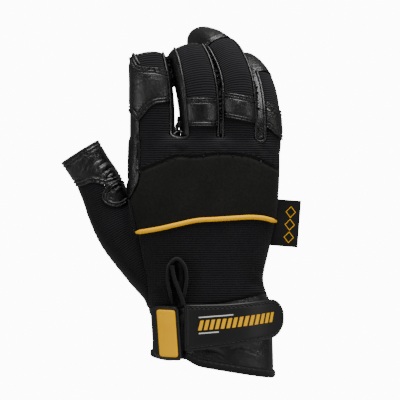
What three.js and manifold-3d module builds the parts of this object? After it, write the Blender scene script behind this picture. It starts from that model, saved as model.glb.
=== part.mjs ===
// A right-hand framer glove: leather palm, knit back, thumb and first two fingers cut open at the tip.
// It stands as a hand fills it, with the fingers curled. Millimetres, +Z towards the fingertips.
// The back of the hand faces -Y, the thumb is at -X, and the origin is the middle of the wrist opening.
import * as THREE from "three";
import { mergeVertices } from "three/addons/utils/BufferGeometryUtils.js";
import Module from "manifold-3d";

const wasm = await Module();
wasm.setup();

// Driving sizes.
const WALL = 2.0; // leather or knit with its backing
const GAP = 0.3; // clearance between neighbouring pieces
const PATCH = 1.1; // thickness of a leather patch sewn on top
const HAND_SIDES = 28;
const FINGER_SIDES = 14;
const HAND_POWER = 2.5; // superellipse power of the hand's sections
const FINGER_POWER = 2.25;
const SHOULDER = 6; // rounding between the top of the hand and its faces
const TOP_SLOPE = -0.05; // the finger roots sit lower towards the little finger
const SIDE_SEAM_Y = -4.5; // the seam between back and palm lies on this plane
const FAR = 120; // beyond every face of the glove

// The hand from the cuff to the finger roots: centre, half width and half depth of each section.
const HAND = [
  { z: -14, x: 0.3, y: 0.0, wide: 39.8, deep: 25.0 },
  { z: 6, x: 0.4, y: 0.0, wide: 39.4, deep: 25.0 },
  { z: 22, x: 0.4, y: 0.0, wide: 38.9, deep: 24.5 },
  { z: 33, x: 0.0, y: -0.4, wide: 39.0, deep: 24.0 },
  { z: 42, x: -2.0, y: -0.8, wide: 40.4, deep: 23.6 },
  { z: 50, x: -4.4, y: -1.2, wide: 39.6, deep: 23.0 },
  { z: 60, x: -6.2, y: -1.6, wide: 39.2, deep: 22.4 },
  { z: 74, x: -6.4, y: -2.3, wide: 42.2, deep: 21.4 },
  { z: 88, x: -6.0, y: -3.1, wide: 45.2, deep: 20.2 },
  { z: 102, x: -5.6, y: -3.7, wide: 47.6, deep: 19.2 },
  { z: 118, x: -5.6, y: -4.1, wide: 48.8, deep: 18.0 },
  { z: 132, x: -5.4, y: -4.4, wide: 49.2, deep: 17.0 },
  { z: 145, x: -5.2, y: -4.5, wide: 49.0, deep: 15.8 },
];

// Finger centre lines with half width and half depth, from inside the hand to the tip.
// from and to: the knit's edges as shares of the half width. round: how far the knit comes down the
// sides, as a share of the half depth. capFrom: the row where a closed leather tip begins.
const FINGERS = {
  index: {
    rows: [
      { x: -38.6, y: -4.0, z: 130, wide: 13.8, deep: 12.4 },
      { x: -38.7, y: -5.0, z: 150, wide: 14.3, deep: 12.8 },
      { x: -38.7, y: -4.6, z: 168, wide: 14.3, deep: 12.6 },
      { x: -39.4, y: -2.4, z: 184, wide: 13.6, deep: 12.0 },
      { x: -40.7, y: 1.4, z: 195, wide: 12.6, deep: 11.4 },
      { x: -41.8, y: 5.0, z: 202.4, wide: 11.8, deep: 10.8 },
    ],
    crotch: 153.2, from: -0.6, to: 0.82, round: 0.1,
  },
  middle: {
    rows: [
      { x: -7.6, y: -5.0, z: 130, wide: 12.0, deep: 12.4 },
      { x: -7.5, y: -6.0, z: 150, wide: 12.4, deep: 12.8 },
      { x: -8.0, y: -5.6, z: 166, wide: 13.1, deep: 12.8 },
      { x: -9.4, y: -2.8, z: 181, wide: 13.8, deep: 12.6 },
      { x: -12.6, y: 3.4, z: 195, wide: 13.6, deep: 12.0 },
      { x: -17.0, y: 11.4, z: 206, wide: 12.6, deep: 11.2 },
    ],
    crotch: 152.0, from: -0.62, to: 0.88, round: 0.1,
  },
  ring: {
    rows: [
      { x: 17.0, y: -4.0, z: 130, wide: 11.8, deep: 12.2 },
      { x: 17.0, y: -5.0, z: 150, wide: 12.1, deep: 12.6 },
      { x: 17.1, y: -4.0, z: 167, wide: 12.1, deep: 12.4 },
      { x: 15.8, y: 2.4, z: 186, wide: 11.5, deep: 12.0 },
      { x: 9.2, y: 14.2, z: 202.6, wide: 11.5, deep: 11.4 },
      { x: 0.6, y: 26.0, z: 211.8, wide: 11.2, deep: 10.8 },
      { x: -5.8, y: 36.0, z: 215.4, wide: 10.6, deep: 10.4 },
    ],
    crotch: 150.9, from: -0.8, to: 0.88, round: 0.1, capFrom: 4.5, closed: true,
  },
  pinky: {
    rows: [
      { x: 30.6, y: -3.4, z: 116, wide: 7.4, deep: 8.4 },
      { x: 34.8, y: -2.0, z: 145, wide: 9.6, deep: 11.2 },
      { x: 34.9, y: 0.8, z: 161, wide: 9.7, deep: 11.0 },
      { x: 33.6, y: 8.2, z: 175, wide: 9.8, deep: 10.4 },
      { x: 30.6, y: 18.2, z: 186.8, wide: 9.8, deep: 9.9 },
      { x: 25.8, y: 28.8, z: 195.2, wide: 9.6, deep: 9.6 },
      { x: 21.8, y: 36.4, z: 199.4, wide: 9.2, deep: 9.2 },
    ],
    crotch: 150.0, from: -0.1, to: 1.3, round: -0.1, capFrom: 4.1, closed: true,
  },
};
const THUMB = {
  rows: [
    { x: -30.0, y: 0.0, z: 46, wide: 9.0, deep: 15.0 },
    { x: -40.5, y: 1.0, z: 58.5, wide: 11.0, deep: 15.6 },
    { x: -50.0, y: 3.5, z: 74, wide: 13.6, deep: 15.6 },
    { x: -59.2, y: 6.0, z: 88.5, wide: 14.9, deep: 15.0 },
    { x: -66.0, y: 8.0, z: 103, wide: 15.0, deep: 14.0 },
    { x: -72.2, y: 9.0, z: 118.6, wide: 14.3, deep: 13.2 },
    { x: -80.0, y: 9.4, z: 131.8, wide: 13.4, deep: 12.6 },
    { x: -86.5, y: 9.4, z: 142.2, wide: 13.9, deep: 12.4 },
  ],
  round: 0.0,
};

// Seams as seen from the back of the hand, left to right or top to bottom.
const KNUCKLE_SEAM = [
  { x: -47.1, z: 128.9 }, { x: -33.2, z: 134.2 }, { x: -22.6, z: 138.2 }, { x: -10.0, z: 138.0 },
  { x: 5.6, z: 139.8 }, { x: 21.0, z: 138.6 }, { x: 30.4, z: 135.8 }, { x: 44.4, z: 129.2 },
];
const PIPING_SEAM = [
  { x: -48.6, z: 89.6 }, { x: -34.9, z: 91.9 }, { x: -22.5, z: 94.7 }, { x: -10.0, z: 97.4 },
  { x: 2.4, z: 98.2 }, { x: 14.8, z: 99.0 }, { x: 24.7, z: 99.5 }, { x: 33.5, z: 98.8 }, { x: 41.6, z: 96.4 },
];
const CUFF_SEAM = [
  { x: -42.0, z: 40.5 }, { x: -20.0, z: 41.0 }, { x: 0.0, z: 43.4 }, { x: 18.0, z: 46.6 }, { x: 37.0, z: 50.6 },
];
const THUMB_SEAM = [
  { x: -48.6, z: 89.6 }, { x: -44.8, z: 69.6 }, { x: -42.2, z: 57.9 }, { x: -42.0, z: 40.5 },
];
const PALM_EDGE = [
  { x: -47.1, z: 128.9 }, { x: -48.2, z: 121.0 }, { x: -53.0, z: 112.4 }, { x: -51.6, z: 104.0 },
  { x: -48.6, z: 89.6 },
];
const KNIT_TOP = 158; // above the finger roots, where the fingers' own cuts take over
const THUMB_TIP_EDGE = [
  { x: -115, z: 118.8 }, { x: -87, z: 119.6 }, { x: -77.5, z: 121.8 }, { x: -68.9, z: 120.2 },
  { x: -61.0, z: 122.6 }, { x: -56.4, z: 127.0 },
];

// Outlines of the leather sewn on top, seen from the back of the hand.
const THUMB_PATCH = [
  { x: -55.6, z: 121.8 }, { x: -61.0, z: 121.6 }, { x: -66.6, z: 118.6 }, { x: -70.8, z: 114.6 },
  { x: -70.0, z: 110.0 }, { x: -66.4, z: 107.2 }, { x: -60.6, z: 106.2 }, { x: -56.8, z: 107.6 },
  { x: -54.6, z: 111.4 },
];
const INDEX_PATCH = [
  { x: -60.0, z: 208.0 }, { x: -51.2, z: 208.0 }, { x: -49.4, z: 200.2 }, { x: -46.3, z: 196.6 },
  { x: -36.4, z: 195.6 }, { x: -29.0, z: 193.6 }, { x: -25.0, z: 174.0 }, { x: -29.0, z: 173.4 },
  { x: -36.4, z: 172.2 }, { x: -40.7, z: 169.2 }, { x: -44.4, z: 164.6 }, { x: -46.9, z: 158.4 },
  { x: -60.0, z: 158.4 },
];
const BANDS = {
  middle: [{ x: -18.6, z: 175.9 }, { x: 2.9, z: 175.9 }, { x: 4.0, z: 157.9 }, { x: -16.4, z: 157.9 }],
  ring: [{ x: 7.9, z: 180.0 }, { x: 26.6, z: 176.2 }, { x: 27.6, z: 159.9 }, { x: 8.7, z: 163.8 }],
  pinky: [{ x: 35.2, z: 173.6 }, { x: 50.0, z: 164.6 }, { x: 50.0, z: 145.0 }, { x: 35.5, z: 157.2 }],
};
const PATCH_DEEP = { index: 2, thumb: 6, middle: -4.6, ring: -3.2, pinky: 2 }; // how far back each one wraps

// Cuff, strap and small parts.
const HEM = { z: 2.2, slope: -0.17 }; // the hem falls towards the little finger
const BINDING = { high: 5.0, proud: 1.2 };
const SLIT = [
  { x: -18.8, z: 34 }, { x: -17.6, z: 34 }, { x: -16.8, z: 12 }, { x: -14.2, z: -12 }, { x: -22.0, z: -12 },
  { x: -19.6, z: 12 },
];
// The strap's rows run round the back of the wrist: where its inner face lies, and its middle and height.
const STRAP = {
  thick: 2.2, from: 0.4, endRound: 10,
  rows: [
    { x: -17.8, y: -23.0, middle: 28.8, high: 29.8 }, { x: -10.0, y: -24.2, middle: 29.0, high: 29.4 },
    { x: 0.0, y: -24.5, middle: 29.8, high: 28.2 }, { x: 10.0, y: -24.2, middle: 30.6, high: 27.2 },
    { x: 20.0, y: -22.7, middle: 31.8, high: 26.4 }, { x: 27.0, y: -20.2, middle: 32.7, high: 26.0 },
    { x: 33.0, y: -16.6, middle: 33.5, high: 25.6 }, { x: 39.0, y: -11.4, middle: 34.2, high: 25.2 },
    { x: 45.4, y: -4.8, middle: 34.6, high: 25.0 },
  ],
};
// The name tab and the raised plate that holds it, on the thumb side of the strap.
const TAB = {
  lean: -0.07, plate: { from: 1.6, thick: 2.0 }, tab: { from: 3.9, thick: 1.2 }, margin: 2.3,
  rows: [
    { x: -36.6, y: -13.2, middle: 25.6, high: 31.0 }, { x: -33.0, y: -16.8, middle: 25.4, high: 34.0 },
    { x: -27.0, y: -20.6, middle: 25.2, high: 34.6 }, { x: -19.6, y: -23.4, middle: 25.0, high: 34.6 },
  ],
};
const PIPE_RADIUS = 1.6;
const LOOP = { ribbon: 5.4, thick: 2.3, standOff: 3.2 };
const LOOP_PATH = [
  { x: -25.4, z: 44.6 }, { x: -27.2, z: 52.0 }, { x: -28.6, z: 60.0 }, { x: -27.6, z: 68.5 },
  { x: -22.6, z: 73.2 }, { x: -17.6, z: 68.5 }, { x: -16.4, z: 60.0 }, { x: -17.4, z: 52.0 }, { x: -19.0, z: 44.6 },
];
const LABEL = { reach: 19.6, high: 30.4, thick: 0.9, lean: 4.5, z: 95.6, x: 46.8 };

const COLOURS = {
  knit: { color: "#17161a", roughness: 0.95 },
  panel: { color: "#1b1b19", roughness: 0.8 },
  leather: { color: "#1d1c1b", roughness: 0.5 },
  yellow: { color: "#f0b72e", roughness: 0.5 },
  rubber: { color: "#1a1a1a", roughness: 0.6 },
  tape: { color: "#121214", roughness: 0.9 },
};

// A table's columns between its rows, by a Catmull-Rom curve; t counts rows.
function between(rows, t) {
  const i = Math.min(Math.max(Math.floor(t), 0), rows.length - 2);
  const u = t - i;
  const made = {};
  for (const key of Object.keys(rows[0])) {
    const at = (k) => rows[Math.min(Math.max(k, 0), rows.length - 1)][key];
    const [a, b, c, d] = [at(i - 1), at(i), at(i + 1), at(i + 2)];
    made[key] = b + 0.5 * u * (c - a + u * (2 * a - 5 * b + 4 * c - d + u * (3 * (b - c) + d - a)));
  }
  return made;
}

function steps(rows, perRow) {
  const count = (rows.length - 1) * perRow;
  return Array.from({ length: count + 1 }, (_, k) => k / perRow);
}

function superPoint(angle, wide, deep, power) {
  const [c, s] = [Math.cos(angle), Math.sin(angle)];
  return [
    wide * Math.sign(c) * Math.abs(c) ** (2 / power),
    deep * Math.sign(s) * Math.abs(s) ** (2 / power),
  ];
}

// A closed solid through rings of equal length, with flat ends.
function loft(rings) {
  const sides = rings[0].length;
  const points = rings.flat();
  const faces = [];
  for (let r = 0; r + 1 < rings.length; r++)
    for (let k = 0; k < sides; k++) {
      const [a, b] = [r * sides + k, r * sides + ((k + 1) % sides)];
      faces.push(a, b, b + sides, a, b + sides, a + sides);
    }
  for (const [ring, turned] of [[0, true], [rings.length - 1, false]]) {
    const middle = new THREE.Vector3();
    rings[ring].forEach((p) => middle.add(p));
    points.push(middle.divideScalar(sides));
    for (let k = 0; k < sides; k++) {
      const [a, b] = [ring * sides + k, ring * sides + ((k + 1) % sides)];
      faces.push(points.length - 1, turned ? b : a, turned ? a : b);
    }
  }
  const flat = new Float32Array(points.flatMap((p) => [p.x, p.y, p.z]));
  return facingOut(flat, new Uint32Array(faces));
}

function facingOut(vertProperties, triVerts) {
  const solid = (tris) => new wasm.Manifold(new wasm.Mesh({ numProp: 3, vertProperties, triVerts: tris }));
  const made = solid(triVerts);
  if (made.volume() > 0) return made;
  return solid(triVerts.map((_, k) => triVerts[k - (k % 3) + 2 - (k % 3)]));
}

function solidOf(geometry) {
  const bare = geometry.clone();
  bare.deleteAttribute("normal");
  bare.deleteAttribute("uv");
  const merged = mergeVertices(bare, 1e-4);
  return facingOut(merged.attributes.position.array, new Uint32Array(merged.index.array));
}

function geometryOf(solid) {
  const mesh = solid.simplify(0.03).getMesh();
  const positions = new Float32Array(mesh.numVert * 3);
  for (let i = 0; i < mesh.numVert; i++)
    positions.set(mesh.vertProperties.subarray(i * mesh.numProp, i * mesh.numProp + 3), i * 3);
  const geometry = new THREE.BufferGeometry();
  geometry.setAttribute("position", new THREE.BufferAttribute(positions, 3));
  geometry.setIndex(new THREE.BufferAttribute(mesh.triVerts, 1));
  geometry.computeVertexNormals();
  return geometry;
}

const joined = (solids) => solids.reduce((a, b) => a.add(b));
const main = (solid) => solid.decompose().sort((a, b) => b.volume() - a.volume())[0];

function block(low, high) {
  const size = high.map((h, k) => h - low[k]);
  const geometry = new THREE.BoxGeometry(...size);
  geometry.translate(...low.map((l, k) => l + size[k] / 2));
  return solidOf(geometry);
}

// A prism through the glove: an outline seen from the back of the hand, between two depths.
function prism(outline, nearY, farY) {
  const shape = new THREE.Shape(outline.map((p) => new THREE.Vector2(p.x, p.z)));
  const geometry = new THREE.ExtrudeGeometry(shape, { depth: farY - nearY, bevelEnabled: false });
  geometry.rotateX(Math.PI / 2);
  geometry.translate(0, farY, 0);
  return solidOf(geometry);
}

function curvePoints(seam, perRow = 2) {
  return steps(seam, perRow).map((t) => between(seam, t));
}

// The thin space along a seam, through the glove's back wall.
function seamSpace(seam, nearY, farY, width = GAP) {
  const line = curvePoints(seam);
  const side = (sign) =>
    line.map((p, k) => {
      const [a, b] = [line[Math.max(k - 1, 0)], line[Math.min(k + 1, line.length - 1)]];
      const long = Math.hypot(b.x - a.x, b.z - a.z);
      const half = (sign * width) / 2 / long;
      return { x: p.x - (b.z - a.z) * half, z: p.z + (b.x - a.x) * half };
    });
  return prism([...side(1), ...side(-1).reverse()], nearY, farY);
}

// The hand's solid, grown outwards by an amount, which is negative for the hollow.
function handForm(grow) {
  const last = HAND[HAND.length - 1];
  const ring = (row, inset, z) =>
    Array.from({ length: HAND_SIDES }, (_, k) => {
      const angle = (2 * Math.PI * k) / HAND_SIDES;
      const [u, v] = superPoint(angle, row.wide + grow - inset, row.deep + grow - inset, HAND_POWER);
      return new THREE.Vector3(row.x + u, row.y + v, row === last ? z + TOP_SLOPE * u : z);
    });
  const rings = HAND.map((row) => ring(row, 0, row.z));
  for (const angle of [30, 60, 90].map(THREE.MathUtils.degToRad)) {
    const radius = SHOULDER + grow;
    rings.push(ring(last, radius * (1 - Math.cos(angle)), last.z + radius * Math.sin(angle)));
  }
  return loft(rings);
}

// A finger's frame at t: centre, direction, side and back of the finger.
function frameAt(rows, t) {
  const row = between(rows, t);
  const [a, b] = [between(rows, t - 0.05), between(rows, t + 0.05)];
  const ahead = new THREE.Vector3(b.x - a.x, b.y - a.y, b.z - a.z).normalize();
  const side = new THREE.Vector3(1, 0, 0).addScaledVector(ahead, -ahead.x).normalize();
  const back = new THREE.Vector3().crossVectors(side, ahead);
  return { row, ahead, side, back, centre: new THREE.Vector3(row.x, row.y, row.z) };
}

function fingerForm(finger, grow, { from = 0, to = finger.rows.length - 1, past = 0, before = 0 } = {}) {
  const spots = finger.rows.map((_, k) => k).filter((t) => t > from + 0.05 && t < to - 0.05);
  const ring = (frame, scale, along) =>
    Array.from({ length: FINGER_SIDES }, (_, k) => {
      const angle = (2 * Math.PI * (k + 0.5)) / FINGER_SIDES;
      const { row } = frame;
      const [u, v] = superPoint(angle, (row.wide + grow) * scale, (row.deep + grow) * scale, FINGER_POWER);
      return frame.centre.clone().addScaledVector(frame.side, u).addScaledVector(frame.back, v)
        .addScaledVector(frame.ahead, along);
    });
  const rings = [from, ...spots, to].map((t) => ring(frameAt(finger.rows, t), 1, 0));
  const [first, last] = [frameAt(finger.rows, from), frameAt(finger.rows, to)];
  if (before) rings.unshift(ring(first, 1, -before));
  if (finger.closed && to === finger.rows.length - 1)
    for (const angle of [28, 52, 74].map(THREE.MathUtils.degToRad))
      rings.push(ring(last, Math.cos(angle), (last.row.deep + grow) * Math.sin(angle)));
  else if (past) rings.push(ring(last, 1, past));
  return loft(rings);
}

// The space over a finger's back: a box section swept along it, between the knit's edges.
function backSpace(finger, grow, { from = 0, to = finger.rows.length - 1, past = 0 } = {}) {
  const spots = [from, ...finger.rows.map((_, k) => k).filter((t) => t > from + 0.05 && t < to - 0.05), to];
  const ring = (frame, along) => {
    const { row } = frame;
    const [left, right] = [finger.from * row.wide - grow, finger.to * row.wide + grow];
    const [low, high] = [finger.round * row.deep - grow, row.deep + 8];
    return [[left, low], [right, low], [right, high], [left, high]].map(([u, v]) =>
      frame.centre.clone().addScaledVector(frame.side, u).addScaledVector(frame.back, v)
        .addScaledVector(frame.ahead, along));
  };
  const rings = spots.map((t) => ring(frameAt(finger.rows, t), 0));
  if (past) rings.push(ring(frameAt(finger.rows, to), past));
  return loft(rings);
}

// Whole forms, outside and inside.
const fingerNames = Object.keys(FINGERS);
const thumbOpen = { ...THUMB, from: -1.4, to: 1.4 };
const outer = {};
const inner = {};
for (const name of fingerNames) {
  const finger = FINGERS[name];
  outer[name] = fingerForm(finger, 0);
  inner[name] = fingerForm(finger, -WALL, { past: 6, before: 4 });
}
const above = (z) => block([-FAR, -FAR, z], [FAR, FAR, 2 * FAR + FAR]);
const below = (z) => block([-FAR, -FAR, -FAR], [FAR, FAR, z]);

function belowHem(rise) {
  const geometry = new THREE.BoxGeometry(4 * FAR, 4 * FAR, FAR);
  geometry.translate(0, 0, -FAR / 2);
  geometry.rotateY(-Math.atan(HEM.slope));
  geometry.translate(0, 0, HEM.z + rise);
  return solidOf(geometry);
}

const thumbOuter = fingerForm(THUMB, 0);
const thumbInner = fingerForm(THUMB, -WALL, { past: 6 });
const roots = joined(fingerNames.map((name) => outer[name].intersect(below(FINGERS[name].crotch))));
const hollow = joined([handForm(-WALL), thumbInner, ...fingerNames.map((name) => inner[name])]);
const body = joined([handForm(0), roots, thumbOuter]).subtract(hollow);

// Each finger's own tube above its root, kept clear of the finger before it.
const tubes = {};
fingerNames.forEach((name, k) => {
  let tube = outer[name].subtract(inner[name]).intersect(above(FINGERS[name].crotch - 3));
  if (k) tube = tube.subtract(fingerForm(FINGERS[fingerNames[k - 1]], GAP).intersect(above(150)));
  tubes[name] = tube;
});

// Back of the hand: three panels between the seams, one of them joined to the knit of the fingers.
const nearY = -60;
const rightEdge = (z) => ({ x: 60, z });
const upperRegion = prism(
  [...curvePoints(KNUCKLE_SEAM), rightEdge(129.2), rightEdge(KNIT_TOP), { x: -46.6, z: KNIT_TOP }, { x: -46.4, z: 143 }],
  nearY, SIDE_SEAM_Y);
const panelRegion = prism(
  [...curvePoints(PIPING_SEAM), rightEdge(96.4), rightEdge(129.2), ...curvePoints(KNUCKLE_SEAM).reverse(),
    ...curvePoints(PALM_EDGE).slice(1, -1)],
  nearY, SIDE_SEAM_Y);
const lowerRegion = prism(
  [...curvePoints(CUFF_SEAM), rightEdge(50.6), rightEdge(96.4), ...curvePoints(PIPING_SEAM).reverse(),
    ...curvePoints(THUMB_SEAM).slice(1, -1)],
  nearY, SIDE_SEAM_Y);
const thumbSide = prism(
  [...curvePoints(THUMB_SEAM), { x: -110, z: 40.5 }, { x: -110, z: 150 }, { x: -54.2, z: 121.6 },
    ...curvePoints(PALM_EDGE).slice(4, -1)],
  nearY, FAR);
const thumbRegion = thumbSide.intersect(backSpace(thumbOpen, 0, { past: 8 }));

const seamSpaces = joined([
  seamSpace(KNUCKLE_SEAM, nearY, SIDE_SEAM_Y),
  seamSpace(PIPING_SEAM, nearY, SIDE_SEAM_Y),
  seamSpace(CUFF_SEAM, nearY, SIDE_SEAM_Y),
  seamSpace(THUMB_SEAM, nearY, SIDE_SEAM_Y),
  seamSpace([{ x: -46.4, z: KNIT_TOP }, { x: -46.4, z: 143 }, ...PALM_EDGE], nearY, SIDE_SEAM_Y),
  block([0, SIDE_SEAM_Y - GAP / 2, 20], [FAR, SIDE_SEAM_Y + GAP / 2, 160]),
]);

// The hand's back surface, for what lies on it.
function sectionAt(z) {
  let [low, high] = [0, HAND.length - 1];
  for (let k = 0; k < 30; k++) {
    const middle = (low + high) / 2;
    if (between(HAND, middle).z < z) low = middle;
    else high = middle;
  }
  return between(HAND, low);
}

function backY(x, z, grow = 0) {
  const row = sectionAt(z);
  const share = Math.min(Math.abs(x - row.x) / (row.wide + grow), 0.995);
  return row.y - (row.deep + grow) * (1 - share ** HAND_POWER) ** (1 / HAND_POWER);
}

// A bar of a given section along a path, as rings of [across, out] offsets.
function swept(path, section, outAt) {
  return path.map((p, k) => {
    const [a, b] = [path[Math.max(k - 1, 0)], path[Math.min(k + 1, path.length - 1)]];
    const ahead = new THREE.Vector3().subVectors(b, a).normalize();
    const out = outAt(p).clone().addScaledVector(ahead, -outAt(p).dot(ahead)).normalize();
    const across = new THREE.Vector3().crossVectors(ahead, out);
    return section(k / (path.length - 1)).map(([u, v]) =>
      p.clone().addScaledVector(across, u).addScaledVector(out, v));
  });
}

const circle = (radius, sides) =>
  Array.from({ length: sides }, (_, k) => {
    const angle = (2 * Math.PI * k) / sides;
    return [radius * Math.cos(angle), radius * Math.sin(angle)];
  });

const backward = () => new THREE.Vector3(0, -1, 0);

function pipeSolid(radius) {
  const path = steps(PIPING_SEAM, 2).map((t) => between(PIPING_SEAM, t))
    .map((p) => new THREE.Vector3(p.x, backY(p.x, p.z) + 0.1, p.z));
  return loft(swept(path, () => circle(radius, 8), backward));
}

// A plate bent round the wrist along a table's rows, between two heights above its inner face.
function wristPlate(rows, low, high, { from = 0, to = rows.length - 1, margin = 0, lean = 0, endRound = 0 } = {}) {
  const last = rows[rows.length - 1].x;
  const rings = [from, ...steps(rows, 2).filter((t) => t > from + 0.01 && t < to - 0.01), to].map((t) => {
    const [row, a, b] = [between(rows, t), between(rows, t - 0.02), between(rows, t + 0.02)];
    const out = new THREE.Vector3(b.y - a.y, a.x - b.x, 0).normalize();
    const past = endRound ? Math.max(row.x - (last - endRound), 0) / endRound : 0;
    const half = (row.high / 2 - margin) * Math.sqrt(Math.max(1 - past ** 2.4, 0.06));
    return [[-half, low], [half, low], [half, high], [-half, high]].map(([u, v]) =>
      new THREE.Vector3(row.x + lean * u, row.y, row.middle + u).addScaledVector(out, v));
  });
  return loft(rings);
}

function loopSolid() {
  const path = steps(LOOP_PATH, 2).map((t) => between(LOOP_PATH, t))
    .map((p) => new THREE.Vector3(p.x, backY(p.x, p.z) - LOOP.standOff, p.z));
  const [half, deep] = [LOOP.thick / 2, LOOP.ribbon / 2];
  const corner = 0.7;
  const section = () => [
    [half, -deep + corner], [half, deep - corner], [half - corner, deep], [corner - half, deep],
    [-half, deep - corner], [-half, corner - deep], [corner - half, -deep], [half - corner, -deep],
  ];
  return loft(swept(path, section, backward));
}

function labelSolid() {
  const geometry = new THREE.BoxGeometry(LABEL.reach, LABEL.thick, LABEL.high);
  geometry.rotateY(THREE.MathUtils.degToRad(LABEL.lean));
  geometry.translate(LABEL.x, SIDE_SEAM_Y, LABEL.z);
  return main(solidOf(geometry).subtract(handForm(GAP)));
}

// A layer over the skin, from GAP above it to a patch's thickness.
function layer(form) {
  return form(GAP + PATCH).subtract(form(GAP));
}

// Pieces in the order that they are sewn.
const pieces = {};
const pipeRoom = pipeSolid(PIPE_RADIUS + GAP);
const slit = prism(SLIT, nearY, 0);

const toCap = (finger) => (finger.closed ? { to: finger.capFrom } : { past: 8 });
const fingerAbove = (name, extra = 0) => above(FINGERS[name].crotch + extra);
const backs = fingerNames.map((name) =>
  tubes[name].intersect(backSpace(FINGERS[name], 0, toCap(FINGERS[name]))));
const backRoom = joined(fingerNames.map((name) =>
  backSpace(FINGERS[name], GAP, toCap(FINGERS[name])).intersect(fingerAbove(name, -3 - GAP))));
pieces.back_knit_upper = main(joined([body.intersect(upperRegion).subtract(seamSpaces), ...backs]));
pieces.back_panel = main(body.intersect(panelRegion).subtract(seamSpaces).subtract(pipeRoom));
pieces.back_knit_lower = main(body.intersect(lowerRegion).subtract(seamSpaces).subtract(pipeRoom));

const tipOutline = [...curvePoints(THUMB_TIP_EDGE), { x: -56.4, z: 175 }, { x: -115, z: 175 }];
const tipRegion = prism(tipOutline, nearY, FAR);
const tipSeam = seamSpace(THUMB_TIP_EDGE, nearY, FAR);
pieces.thumb_knit = main(body.intersect(thumbRegion).subtract(seamSpaces).subtract(tipRegion).subtract(tipSeam));
pieces.thumb_leather = main(body.intersect(tipRegion).subtract(tipSeam));
pieces.piping = pipeSolid(PIPE_RADIUS);

const backRegions = joined([upperRegion, panelRegion, lowerRegion, thumbRegion, tipRegion]);
const cuffRegion = joined([
  below(40.2),
  prism([...curvePoints(CUFF_SEAM), rightEdge(50.6), rightEdge(0), { x: -46, z: 0 }, { x: -46, z: 40.5 }],
    nearY, SIDE_SEAM_Y),
]);
pieces.cuff_leather = main(body.intersect(cuffRegion).subtract(seamSpaces)
  .subtract(belowHem(BINDING.high + GAP)).subtract(slit));
const thumbBackRoom = thumbSide.intersect(backSpace(thumbOpen, GAP, { past: 8 }));
const fingerRoom = joined(fingerNames.map((name) =>
  fingerForm(FINGERS[name], GAP + 0.2, { from: 1 }).intersect(fingerAbove(name, -GAP))));
pieces.palm_leather = main([backRegions, cuffRegion, block([-FAR, -FAR, 40], [FAR, FAR, 40.2 + GAP]), seamSpaces,
  thumbBackRoom, tipSeam, fingerRoom, backRoom].reduce((a, b) => a.subtract(b), body));

for (const name of fingerNames) {
  const finger = FINGERS[name];
  let sheath = tubes[name].intersect(fingerAbove(name)).subtract(backSpace(finger, GAP, toCap(finger)));
  if (finger.closed) {
    const capSpace = fingerForm(finger, 6, { from: finger.capFrom });
    const capRoom = fingerForm(finger, 6, { from: finger.capFrom, before: GAP }).intersect(above(176));
    pieces[name + "_cap"] = main(tubes[name].intersect(capSpace));
    sheath = sheath.subtract(capRoom);
    pieces.back_knit_upper = pieces.back_knit_upper.subtract(capRoom);
  }
  pieces[name + "_sheath"] = main(sheath);
}

// Leather on top of the skin.
for (const [name, outline] of Object.entries(BANDS)) {
  const open = { ...FINGERS[name], closed: false };
  pieces[name + "_band"] = main(layer((grow) => fingerForm(open, grow, { to: 4 }))
    .intersect(prism(outline, nearY, PATCH_DEEP[name])));
}
pieces.index_patch = main(layer((grow) => fingerForm(FINGERS.index, grow))
  .intersect(prism(INDEX_PATCH, nearY, PATCH_DEEP.index)));
pieces.thumb_patch = main(layer((grow) => fingerForm(THUMB, grow, { from: 3 }))
  .intersect(prism(curvePoints([...THUMB_PATCH, THUMB_PATCH[0]]).slice(0, -1), nearY, PATCH_DEEP.thumb)));

// Hem binding: a thick rolled edge round the cuff, parted at the slit.
pieces.cuff_binding = main(handForm(BINDING.proud).subtract(handForm(-WALL - BINDING.proud))
  .intersect(belowHem(BINDING.high)).subtract(belowHem(0)).subtract(slit));

pieces.wrist_strap = wristPlate(STRAP.rows, STRAP.from, STRAP.from + STRAP.thick, { endRound: STRAP.endRound });
pieces.tab_plate = wristPlate(TAB.rows, TAB.plate.from, TAB.plate.from + TAB.plate.thick, { lean: TAB.lean });
pieces.id_tab = wristPlate(TAB.rows, TAB.tab.from, TAB.tab.from + TAB.tab.thick,
  { lean: TAB.lean, margin: TAB.margin, from: 1.2, to: 2.68 });
pieces.hang_loop = loopSolid();
pieces.side_label = labelSolid();

const MATERIAL_OF = {
  back_knit_upper: "knit", back_knit_lower: "knit", thumb_knit: "knit", back_panel: "panel",
  piping: "yellow", id_tab: "yellow", wrist_strap: "rubber", hang_loop: "tape", side_label: "tape",
  cuff_binding: "tape", tab_plate: "rubber",
};

const glove = new THREE.Group();
for (const [name, solid] of Object.entries(pieces)) {
  const material = new THREE.MeshStandardMaterial(COLOURS[MATERIAL_OF[name] || "leather"]);
  const mesh = new THREE.Mesh(geometryOf(solid), material);
  mesh.name = name;
  glove.add(mesh);
}

export default glove;
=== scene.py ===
# A right-hand framer glove: leather palm, ribbed knit back, thumb and first two fingers cut open at the
# tip, dressed round its solid frame. Tables are in millimetres, as the frame's own are; meshes in metres.
# The back of the hand faces -Y, the thumb is at -X, and the origin is the middle of the wrist opening.
import math
from functools import cache

import bmesh
import bpy
import numpy as np
from bpy.props import FloatProperty, FloatVectorProperty, PointerProperty
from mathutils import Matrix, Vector
from mathutils.bvhtree import BVHTree
from mathutils.kdtree import KDTree


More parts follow.
